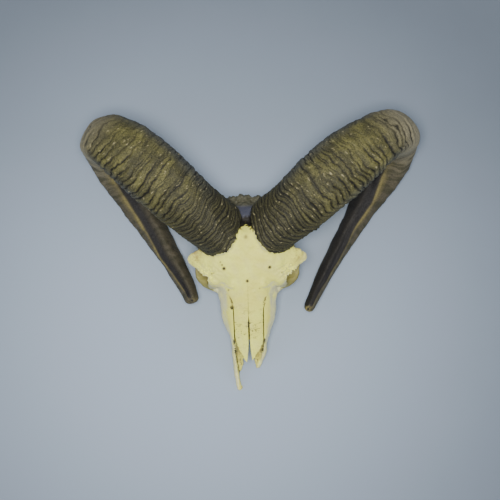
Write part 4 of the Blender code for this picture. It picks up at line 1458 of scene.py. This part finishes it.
@dataclass(frozen=True)
class Weathering:
    """Small forms, stains and painted light and shade of the bones, worked out from where a point lies.

    Masses give a centre and half sizes, pits give x, y, radius and darkness, and creases
    give x and y of both ends, width and darkness. The other tables give a distance from
    the midline at each y.
    """

    roof: NasalRoof
    lacrimal_pit: Rows = ((35, 121, 82), (9, 13, 12))
    tuberosity: Rows = ((32, 108, 34), (7, 11, 7))
    pits: Rows = ((-27.5, 153.9, 1.55, 1.0), (26.6, 154.0, 1.5, 1.0), (-29.7, 158.2, 0.9, 0.6),
                  (-0.3, 138.4, 1.3, 1.0), (-19.6, 106.8, 1.9, 1.0), (-0.6, 190.5, 2.2, 0.32),
                  (-31.5, 161.5, 0.8, 0.5), (-42.5, 148.0, 0.9, 0.5), (-40.0, 148.5, 0.8, 0.4),
                  (41.0, 147.5, 0.8, 0.4), (14.0, 129.0, 0.9, 0.3), (-23.0, 128.0, 0.9, 0.5))
    creases: Rows = ((-17.5, 54.0, -13.0, 21.0, 0.7, 0.8), (18.6, 67.5, 15.6, 50.0, 0.8, 0.75),
                     (-18.8, 67.0, -16.2, 50.0, 0.8, 0.7), (-12.2, 44.0, -10.6, 33.0, 0.6, 0.5),
                     (11.0, 46.0, 9.4, 36.0, 0.6, 0.45))
    whole_wall: Rows = ((17, 15.8), (30, 17.4), (42, 18.4), (66, 19))
    broken_wall: Rows = ((29.5, 10.4), (35, 12.5), (44, 16), (54, 18.6))
    tear_line: Rows = ((106, 18.3), (112, 18.8), (118, 20.8), (126, 24.8))
    spinal_height: float = 56.0

    def press(self, points: Array, facing: Array) -> Array:
        """Move the points of the melted skull for its small forms.

        Formula: the roof is drawn to its own height near the nasal bones, then each
        point moves along its normal by a sum of pits, swellings and random unevenness.

        Args:
            points: places in millimetres.
            facing: normals.

        Returns:
            New places.
        """
        x, y, z = points.T
        side = np.abs(x)
        width = smooth_table(self.roof.outer, np.clip(y, 37.5, 137.5))[:, 0]
        target = self.roof.height(x, y)
        near = (1 - ramp(side - width, 2.5, 12)) * (1 - ramp(y, 138, 160)) * (np.abs(z - target) < 9)
        near = near * (facing[:, 2] > 0.3)
        moved = points.copy()
        moved[:, 2] += near * (target - z)
        mirrored = np.column_stack([side, y, z])
        push = -2.6 * self.mass(mirrored, self.lacrimal_pit) + 1.8 * self.mass(mirrored, self.tuberosity)

        def wave(size: float, seed: int) -> Array:
            """Random field at the points."""
            return Ripples(size, seed).at(points)

        push += 0.28 * wave(15.0, 71) * (1 - near) + 0.10 * wave(5.0, 72) * (1 - near)
        crest = ramp(y, 226, 234) * ramp(z, 56, 74)
        push += crest * (wave(10.0, 73) + 0.5 * wave(4.5, 74))
        brow_front = hump(side, 52, 12) * hump(y, 147, 10) * ramp(z, 78, 92)
        push += brow_front * (1.1 * wave(5.5, 75) + 0.8 * wave(2.8, 76))
        push += 0.3 * ramp(side, 58, 64) * ramp(z, 80, 88) * wave(6.0, 76)
        muzzle = 1 - ramp(y, 50, 60)
        push += muzzle * 0.22 * wave(5.0, 77)
        fold = np.cos(FULL_TURN * y / 2.9 + 1.2 * wave(6.0, 78)) * (1 - np.abs(facing[:, 2]))
        push += self.tooth(points) * (0.28 * fold + 0.18 * wave(2.6, 79))
        return moved + facing * push[:, None]

    def mass(self, points: Array, shape: Rows) -> Array:
        """Rounded bump of height 1 around a centre, as wide as its half sizes."""
        centre, half = (np.array(part, float) for part in shape)
        return np.exp(-(((points - centre) / half) ** 2).sum(1))

    def tooth(self, points: Array) -> Array:
        """Share of tooth: below the jaw's edge, along the tooth rows.

        Args:
            points: places in millimetres.

        Returns:
            One number for each point, from 0 to 1.
        """
        x, y, z = points.T
        row = (np.abs(np.abs(x) - 21) < 12) * ramp(y, 66, 68) * (1 - ramp(y, 146, 149))
        return row * (1 - ramp(z + 0.7 * np.cos(y / 1.6), 9.0, 11.0))

    def dark_pits_and_creases(self, points: Array, fine: Array) -> Array:
        """Darkness of the pits and creases, which is painted shade, and of the suture from the orbit to the
        nose.

        Formula: bells around each pit's middle, and around each line's distance from the
        point, broken up by the fine field and kept to the upper side of the skull.

        Args:
            points: places in millimetres.
            fine: fine random field at the points.

        Returns:
            One number for each point, from 0 to 1.
        """
        x, y, z = points.T
        dark = np.zeros_like(x)
        for mark_x, mark_y, radius, strength in self.pits:
            spot = np.exp(-(((x - mark_x) ** 2 + (y - mark_y) ** 2) / radius ** 2))
            dark = np.maximum(dark, strength * spot * (z > 90))
        for x0, y0, x1, y1, width, strength in self.creases:
            share = np.clip((y0 - y) / (y0 - y1), 0, 1)
            line = hump(x - x0 - (x1 - x0) * share + 0.3 * fine, 0, width)
            reach = ramp(y, y1 - 2, y1 + 2) * (1 - ramp(y, y0 - 2, y0 + 2))
            broken = ramp(fine, -1.8, 0.2) * (z > 0.75 * y - 8)
            dark = np.maximum(dark, strength * line * reach * broken)
        arc = np.abs(x) - straight_table(self.tear_line, y)
        line = hump(arc, 0.25 * fine, 0.9) * ramp(y, 107, 110) * (1 - ramp(y, 115, 123)) * (z > 88)
        return np.maximum(dark, 0.62 * line * ramp(fine, -1.4, 0.4))

    def shaded_hollows(self, points: Array, facing: Array, fine: Array) -> tuple[Array, Array]:
        """Shade deep in the orbits and in the spinal opening.

        Formula: a flat-topped bell around an orbit's middle where the bone faces out, and
        a bore that is dark where its wall faces its middle line or its end faces back.

        Args:
            points: places in millimetres.
            facing: normals.
            fine: fine random field at the points.

        Returns:
            Shade of the orbits and of the spinal opening, from 0 to 1.
        """
        x, y, z = points.T
        socket = np.exp(-(((y - 153) / 15) ** 2 + ((z - 71) / 14) ** 2) ** 2)
        socket = socket * (1 - ramp(np.abs(x), 36, 50)) * ramp(facing[:, 0] * np.sign(x), -0.2, 0.4)
        height = z - self.spinal_height
        bore = np.hypot(x, height)
        inward = -(facing[:, 0] * x + facing[:, 2] * height) / np.maximum(bore, 1)
        wall_or_end = np.maximum(ramp(inward, 0.1, 0.5), ramp(facing[:, 1], 0.5, 0.8) * (y < 230))
        canal = (bore < 12) * (y > 215) * wall_or_end
        return socket, canal * ramp(239 - y + fine, 0, 9)

    def marks(self, points: Array, facing: Array) -> Marks:
        """Painted light on the sides; ochre, stains, dirt and grime, each partly painted shade; moss and
        enamel.

        Formula: each is a sum or the largest of soft zones, which are products of ramps
        and bells in y, z and the distance from the midline, broken up by two random
        fields. The dark marks of dirt and painted shade take the place of the painted
        light, and so does ochre.

        Args:
            points: places in millimetres.
            facing: normals.

        Returns:
            One number from 0 to 1 for each point, by the name that the material reads.
        """
        x, y, z = points.T
        side = np.abs(x)
        clouds = Ripples(18.0, 81).at(points)
        fine = Ripples(4.0, 82).at(points)
        roof = self.roof.height(x, y)
        up = ramp(facing[:, 2], -0.5, 0.1)
        socket, canal = self.shaded_hollows(points, facing, fine)
        # Painted shade: the bowl of each orbit is darkened to give it depth.
        orbit = (((np.column_stack([side, y, z]) - (46, 152, 70)) / (18, 18, 17)) ** 2).sum(1)
        crest = ramp(y, 225, 230) * ramp(z, 60, 76)
        wall_at = np.where(x < 0, straight_table(self.whole_wall, y), straight_table(self.broken_wall, y))
        trough = ramp(wall_at - side, 1.6, 3.4) * (1 - ramp(y, 58, 68)) * (z > 12) * up * (z < roof - 3.5)
        brow_rim = hump(side, 60, 8) * hump(y, 169, 8) * ramp(z, 78, 92)
        # Painted shade: the space under the nasal bones and the walls beside them.
        under_roof = (side < 19.5) * (y < 113) * (y > 40) * (z > 18) * (z < roof - 1.2)
        nose_wall = under_roof * ramp(side, 15.5, 17.0) * ramp(y, 60, 66) * (1 - ramp(y, 106, 112))
        # Painted shade of the crevice between the horn bases.
        behind = ramp(y + 0.7 * np.abs(x + 0.8) + 1.2 * fine, 203.5, 206.5) * (1 - ramp(y + fine, 213, 217))
        # Painted shade, with some dirt: the deep orbits, the spinal opening, the pits and creases, the space
        # under the nasal bones and the crevice between the horn bases are darkened as painted shade; the
        # specks on the crest and the suture from the orbit to the nose are the bone's own.
        shade_and_dirt = np.maximum.reduce([
            0.22 * crest * ramp(fine, 0.2, 1.4), 0.62 * socket, 0.85 * canal,
            np.clip(1.6 * self.dark_pits_and_creases(points, fine), 0, 0.98),
            0.9 * nose_wall, 0.97 * (under_roof * ramp(y, 62, 72)),
            ramp(z, 96, 108) * (side < 14) * behind])
        # Stains, with painted shade: random stains and the brow rims; painted shade in the bowl and depth of
        # each orbit, under the nasal bones and following the dark marks; and darker where the bone faces
        # down, low behind the muzzle, at the muzzle's tip and in the troughs of the premaxillae.
        stain = (0.05 + 0.12 * ramp(clouds, 0.1, 1.6) + 0.08 * ramp(fine, 0.6, 1.8)
                 + 0.35 * (1 - up) + 0.35 * (1 - ramp(z, 14, 34)) * ramp(y, 50, 70)
                 + 0.4 * np.exp(-orbit ** 2) + 0.45 * socket + 0.10 * (1 - ramp(y, 26, 50))
                 + trough * (0.30 + 0.55 * ramp(y, 36, 50)) * (0.85 + 0.15 * np.tanh(fine))
                 + 0.9 * brow_rim * ramp(fine + clouds, -2.2, 0.6))
        stain = np.maximum.reduce([stain, 0.5 * under_roof * ramp(y, 56, 66), np.clip(1.5 * shade_and_dirt, 0, 0.9)])
        stain = stain + 0.16 * ramp(-x, 50, 62) * ramp(y, 148, 160)
        # Painted shade in slate grey: on the parietal between the horn bases, which is also grimy, and under
        # the front edge of each brow.
        grime_and_shade = np.maximum(ramp(y, 209, 214) * ramp(z, 72, 88),
                           0.40 * hump(side, 42, 9) * hump(y, 130, 6) * ramp(z, 62, 74))
        # Ochre stain on the cheekbones under the orbits, partly painted shade of the brow shelf above them.
        ochre = ramp(side + 1.5 * fine, 38, 46) * ramp(y + 2 * fine, 112, 126) * (1 - ramp(y, 186, 200))
        ochre = 0.96 * ochre * (1 - ramp(z + fine, 62, 72)) * (0.95 + 0.05 * np.tanh(clouds))
        # Painted light: the bone is painted paler where it faces sideways, low on the snout sides and on the
        # outer edge of the broken premaxilla, where the overhead lamp lights it less; a little random tone is
        # added.
        below_crown = ramp(y, 58, 70) * (1 - ramp(z - self.roof.height(0 * x, y), -42, -18))
        painted_light = np.maximum.reduce([
            0.9 * (1 - ramp(facing[:, 2], 0.22, 0.68)) * (0.4 + 0.6 * ramp(y, 40, 66)),
            0.8 * below_crown, 0.6 * ramp(side - wall_at, -2.2, -0.8) * (1 - ramp(y, 56, 66))])
        painted_light = (painted_light + 0.12 * np.tanh(clouds)) * (1 - np.clip(1.6 * shade_and_dirt, 0, 1)) * (1 - 0.9 * ochre)
        return {"painted_light": painted_light, "ochre": ochre, "stain": stain, "shade_and_dirt": shade_and_dirt, "grime_and_shade": grime_and_shade, "moss": crest,
                "enamel": self.tooth(points)}


@dataclass(frozen=True)
class SkullBones:
    """All the bones: melted from their forms, weathered, and parted where the real ones meet.

    Seams give y and z of a path, and foramina are rods. A parted body is named by where
    its middle lies, and crumbs, which are short, belong to the bone beside them.
    """

    forms: SkullForms
    roof: NasalRoof
    weathering: Weathering
    resting: Resting
    rough_grain: float = 1.6
    fine_grain: float = 1.12
    seam: float = 0.06
    sheath_clearance: float = 0.5
    rim_clearance: float = 0.4
    far: float = 100.0
    crumb: float = 8.0
    crumb_split: float = 200.0
    premaxilla_end: float = 68.0
    cranium_start: float = 140.0
    occipital_start: float = 225.0
    cheek_start: float = 45.0
    midline: float = 6.0
    crease_angle: float = math.radians(50)
    frontal_seam: Rows = ((170, -14), (153, -4), (149, 15), (128, 27), (124, 66.2))
    frontal_seam_top: Rows = ((124, 66), (136.5, 112), (140, 140))
    ahead_of_face: Rows = ((-20, 140), (-20, -14))
    premaxilla_seam: Rows = ((47, -14), (50, 14), (58, 44), (66, 90))
    lambdoid_seam: Rows = ((213, -10), (216, 34), (224, 70), (228, 130))
    zygomatic_case: Rows = ((40.5, 104.0, 28.0), (104.0, 184.0, 66.0))
    foramina: tuple[Rows, ...] = (
        ((-27.5, 153.9, 124, 0.95, 0.95), (-27.5, 154.3, 107, 0.8, 0.8)),
        ((26.6, 154.0, 124, 0.9, 0.9), (26.6, 154.4, 107, 0.75, 0.75)),
        ((-0.3, 138.4, 120, 0.75, 0.75), (-0.3, 138.8, 105, 0.6, 0.6)),
        ((-19.6, 106.8, 104, 1.3, 1.3), (-19.0, 107.4, 84, 1.1, 1.1)),
        ((34, 78, 44, 2.0, 2.4), (20, 92, 44, 1.6, 2.0)),
        ((-34, 78, 44, 2.0, 2.4), (-20, 92, 44, 1.6, 2.0)),
    )

    def seams(self) -> list[tuple[Shape, bool]]:
        """Hair-thin sheets that part the skull into its bones.

        Returns:
            Each shape, and whether its faces still have to be turned outwards.
        """
        low, high = (np.array(corner) for corner in self.zygomatic_case)
        shapes = [sheet(self.frontal_seam, self.seam, low[0] + self.seam / 2)]
        shapes += [sheet(path, self.seam, self.far)
                   for path in (self.frontal_seam_top, self.lambdoid_seam, self.premaxilla_seam)]
        face = np.array(self.frontal_seam[:-1] + self.frontal_seam_top + self.ahead_of_face, float)
        shapes.append(prism(face, -self.seam / 2, self.seam / 2))
        cases = [(hollow_case(low, high, self.seam, side), False) for side in Side]
        return [(shape, True) for shape in shapes] + cases

    def sheath_room(self, horn: HornSheath) -> Shape:
        """Space kept free around a horn's rim, so that its core stops just under it.

        Args:
            horn: the horn.

        Returns:
            Points and faces.
        """
        rings = horn.control_rings(CORE_SIDES)[:14]
        centre = rings.mean(1, keepdims=True)
        rings = rings + unit(rings - centre) * self.sheath_clearance
        inward = centre[0] - centre[1]
        rings[0] += inward / np.linalg.norm(inward) * self.rim_clearance
        return skin(rings)

    def bone_name(self, points: Array) -> str:
        """Name of the bone that a parted body belongs to.

        Args:
            points: points of the body.

        Returns:
            The name of its node.
        """
        x, y = points[:, 0].mean(), points[:, 1].mean()
        side = "left" if x > 0 else "right"
        if np.ptp(points[:, 1]) < self.crumb:
            return "occipital" if y > self.crumb_split else "zygomatic_" + side
        if points[:, 1].max() < self.premaxilla_end:
            return "premaxilla_" + side
        if abs(x) > self.cheek_start:
            return "zygomatic_" + side
        if y > self.occipital_start:
            return "occipital"
        if y > self.cranium_start and abs(x) < self.midline:
            return "cranium"
        return "maxilla_" + side

    def melted(self, horns: list[HornSheath]) -> bpy.types.Object:
        """Melt the forms, cut the hollows, grow the teeth, and press the small forms in.

        Args:
            horns: the horns that stand on the forehead.

        Returns:
            The whole skull in one piece, before its seams are cut.
        """
        blank = new_object("skull_blank", merged(self.forms.solids(horns)))
        melt(blank, self.rough_grain, 2)
        cut(blank, self.forms.hollows())
        teeth = new_object("late_forms", merged(self.forms.late_solids()))
        both = bmesh.new()
        both.from_mesh(blank.data)
        both.from_mesh(teeth.data)
        both.to_mesh(blank.data)
        both.free()
        bpy.data.objects.remove(teeth, do_unlink=True)
        melt(blank, self.fine_grain, 3)
        points, facing = read(blank.data, PerVertex.PLACE) / MM, read(blank.data, PerVertex.NORMAL)
        move_points(blank.data, self.weathering.press(points, facing) * MM)
        return blank

    def dressed(self, name: str, shape: Shape, finish: bpy.types.Material, slot: Slot,
                extra: Marks | None = None) -> bpy.types.Object:
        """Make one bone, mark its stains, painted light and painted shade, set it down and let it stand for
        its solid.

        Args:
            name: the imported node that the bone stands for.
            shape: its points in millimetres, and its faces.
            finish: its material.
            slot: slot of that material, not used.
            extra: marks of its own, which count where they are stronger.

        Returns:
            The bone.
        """
        points = shape[0]
        piece = new_object(name + "_bone", shape)
        marks = self.weathering.marks(points, read(piece.data, PerVertex.NORMAL))
        for mark, values in marks.items():
            if extra and mark in extra:
                values = np.maximum(values, extra[mark])
            paint(piece.data, mark, values)
        move_points(piece.data, self.resting.points(points))
        piece.data.materials.append(finish)
        piece.data.shade_smooth()
        piece.data.set_sharp_from_angle(angle=self.crease_angle)
        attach(piece, "root")
        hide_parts(name)
        return piece

    def build(self, horns: list[HornSheath], bone: bpy.types.Material,
              cheekbone: bpy.types.Material) -> list[bpy.types.Object]:
        """Make every bone of the skull.

        Args:
            horns: the horns that stand on the forehead.
            bone: material of most bones.
            cheekbone: material of the cheekbones.

        Returns:
            The bones.
        """
        blank = self.melted(horns)
        rooms = [(self.sheath_room(horn), True) for horn in horns]
        holes = [(rod(rows, steps=6, sides=16), True) for rows in self.foramina]
        cut(blank, rooms + [(self.roof.slot(), True)] + holes + self.seams())
        parted = {}
        for shape in bodies(blank):
            parted.setdefault(self.bone_name(shape[0]), []).append(shape)
        made = []
        for name in sorted(parted):
            look = (cheekbone, Slot.CHEEKBONE) if name.startswith("zygomatic") else (bone, Slot.BONE)
            made.append(self.dressed(name, merged(parted[name]), *look))
        bpy.data.objects.remove(blank, do_unlink=True)
        for side in Side:
            rings, extra = self.roof.plate(side)
            flat = {mark: np.concatenate([values.ravel(), [0, 0]]) for mark, values in extra.items()}
            made.append(self.dressed("nasal_" + side.name.lower(), skin(rings), bone, Slot.BONE, flat))
        return made


# ---------------------------------------------------------------------------
# floor, light and camera
# ---------------------------------------------------------------------------

@dataclass(frozen=True)
class SoftLight:
    """Large square lamp that looks at a point, both in metres."""

    name: str
    place: tuple[float, float, float]
    size: float
    watts: float
    tint: str
    aim: tuple[float, float, float] = (0.0, -0.05, 0.05)

    def build(self) -> None:
        """Make the lamp and turn it towards its aim."""
        lamp = bpy.data.lights.new(self.name, "AREA")
        lamp.energy = self.watts
        lamp.size = self.size
        lamp.color = linear(self.tint)[:3]
        holder = bpy.data.objects.new(self.name, lamp)
        bpy.context.scene.collection.objects.link(holder)
        away = unit(np.array(self.place) - np.array(self.aim))
        side = unit(np.cross((0.0, 1.0, 0.0), away))
        up = np.cross(away, side)
        turn = Matrix(np.column_stack([side, up, away]).tolist()).to_4x4()
        holder.matrix_world = Matrix.Translation(self.place) @ turn


@dataclass(frozen=True)
class Studio:
    """Floor with painted light, soft lamps and the camera that looks down on the forehead.

    The eye and the focus are in millimetres in the skull's own frame, and the frame's
    width is the picture's 500 pixels at 1.19 mm each.
    """

    resting: Resting
    eye: tuple[float, float, float] = (3.9, 175.0, 2100.0)
    roll: float = math.radians(-1.6)
    frame_width: float = 500 * 1.19
    focus: float = 2000.0
    sensor: float = 36.0
    floor_half: float = 6.0
    ambient: str = "#d5dce6"
    ambient_strength: float = 0.36
    lamps: tuple[SoftLight, ...] = (
        SoftLight("key_lamp", (-0.05, -0.36, 2.35), 0.45, 58.0, "#fffbf2"),
        SoftLight("left_lamp", (1.5, -0.7, 1.5), 1.4, 9.0, "#f4f7ff"),
        SoftLight("right_lamp", (-1.5, -0.7, 1.5), 1.4, 9.0, "#f4f7ff"),
    )

    def build(self, board_paint: bpy.types.Material) -> None:
        """Make the floor, the lamps, the ambient light and the camera.

        Args:
            board_paint: material of the floor.
        """
        h = self.floor_half
        corners = np.array([(-h, -h, 0), (h, -h, 0), (h, h, 0), (-h, h, 0)])
        board = new_object("floor", (corners / MM, [(0, 1, 2, 3)]), recalculate=False)
        board.data.materials.append(board_paint)
        for lamp in self.lamps:
            lamp.build()
        world = bpy.data.worlds.new("studio_air")
        world.use_nodes = True
        air = world.node_tree.nodes["Background"]
        air.inputs["Color"].default_value = linear(self.ambient)
        air.inputs["Strength"].default_value = self.ambient_strength
        bpy.context.scene.world = world
        camera = bpy.data.cameras.new("camera")
        camera.sensor_width = self.sensor
        camera.lens = self.sensor * self.focus / self.frame_width
        holder = bpy.data.objects.new("camera", camera)
        bpy.context.scene.collection.objects.link(holder)
        place = Matrix.Translation([v * MM for v in self.eye])
        holder.matrix_world = self.resting.matrix() @ place @ Matrix.Rotation(self.roll, 4, "Z")
        bpy.context.scene.camera = holder


# ---------------------------------------------------------------------------
# the whole model
# ---------------------------------------------------------------------------

LEFT_HORN = HornSheath(
    name="horn_left", side=Side.LEFT, outward=45.4, lift=2.0, start=115.7, end=-128.8, drop=80.4,
    reach=(127.5, 136.0), drift=(36.0, 63.3, -0.1), centre=(67.6, 236.5, 52.0), twist=(-14.8, 11.3),
    rim_twist=31.7, widths=(33.7, 37.4, 28.0, 27.2, 14.6, 7.0), seed=11,
    cracks=((184, 30, 95, 0.9, 1.0), (206, 10, 70, 0.5, 0.8)), flakes=((44, 92, 3.0),),
    keel=((250, 158), (326, 152), (372, 134), (402, 142), (447, 122), (476, 121), (504, 144)),
    inner_light=0.12, worn_tip=0.7)
RIGHT_HORN = HornSheath(
    name="horn_right", side=Side.RIGHT, outward=40.8, lift=3.0, start=115.0, end=-144.1, drop=76.9,
    reach=(129.8, 106.1), drift=(54.3, 36.7, -11.3), centre=(66.0, 237.2, 52.0), twist=(-12.6, 27.0),
    rim_twist=28.2, widths=(33.7, 36.6, 29.1, 24.4, 16.6, 9.2), seed=23,
    cracks=((196, 350, 50, 0.9, 1.1), (178, 60, 60, 0.5, 0.8)), flakes=(),
    keel=((250, 118), (330, 124), (388, 120), (430, 102), (459, 114), (484, 128)),
    inner_light=0.78, worn_tip=0.2)


def main() -> None:
    """Build the horns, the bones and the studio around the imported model."""
    logging.basicConfig(level=logging.INFO, format="%(name)s: %(message)s")
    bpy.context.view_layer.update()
    resting = Resting()
    keratin = HornSheathFinish().material()
    bone = DryBone().material()
    # The cheekbones take a darker colour for their stains and painted shade.
    cheekbone = DryBone(name="stained_and_shaded_cheekbone", stain="#605730").material()
    horns = [LEFT_HORN, RIGHT_HORN]
    roof = NasalRoof()
    skull = SkullBones(SkullForms(), roof, Weathering(roof), resting)
    made = [horn.build(resting, keratin) for horn in horns]
    made += skull.build(horns, bone, cheekbone)
    for piece in made:
        LOG.info("%s: %d points, %d faces", piece.name, len(piece.data.vertices), len(piece.data.polygons))
    Studio(resting).build(BackdropPaint().material())


if __name__ == "__main__":
    main()
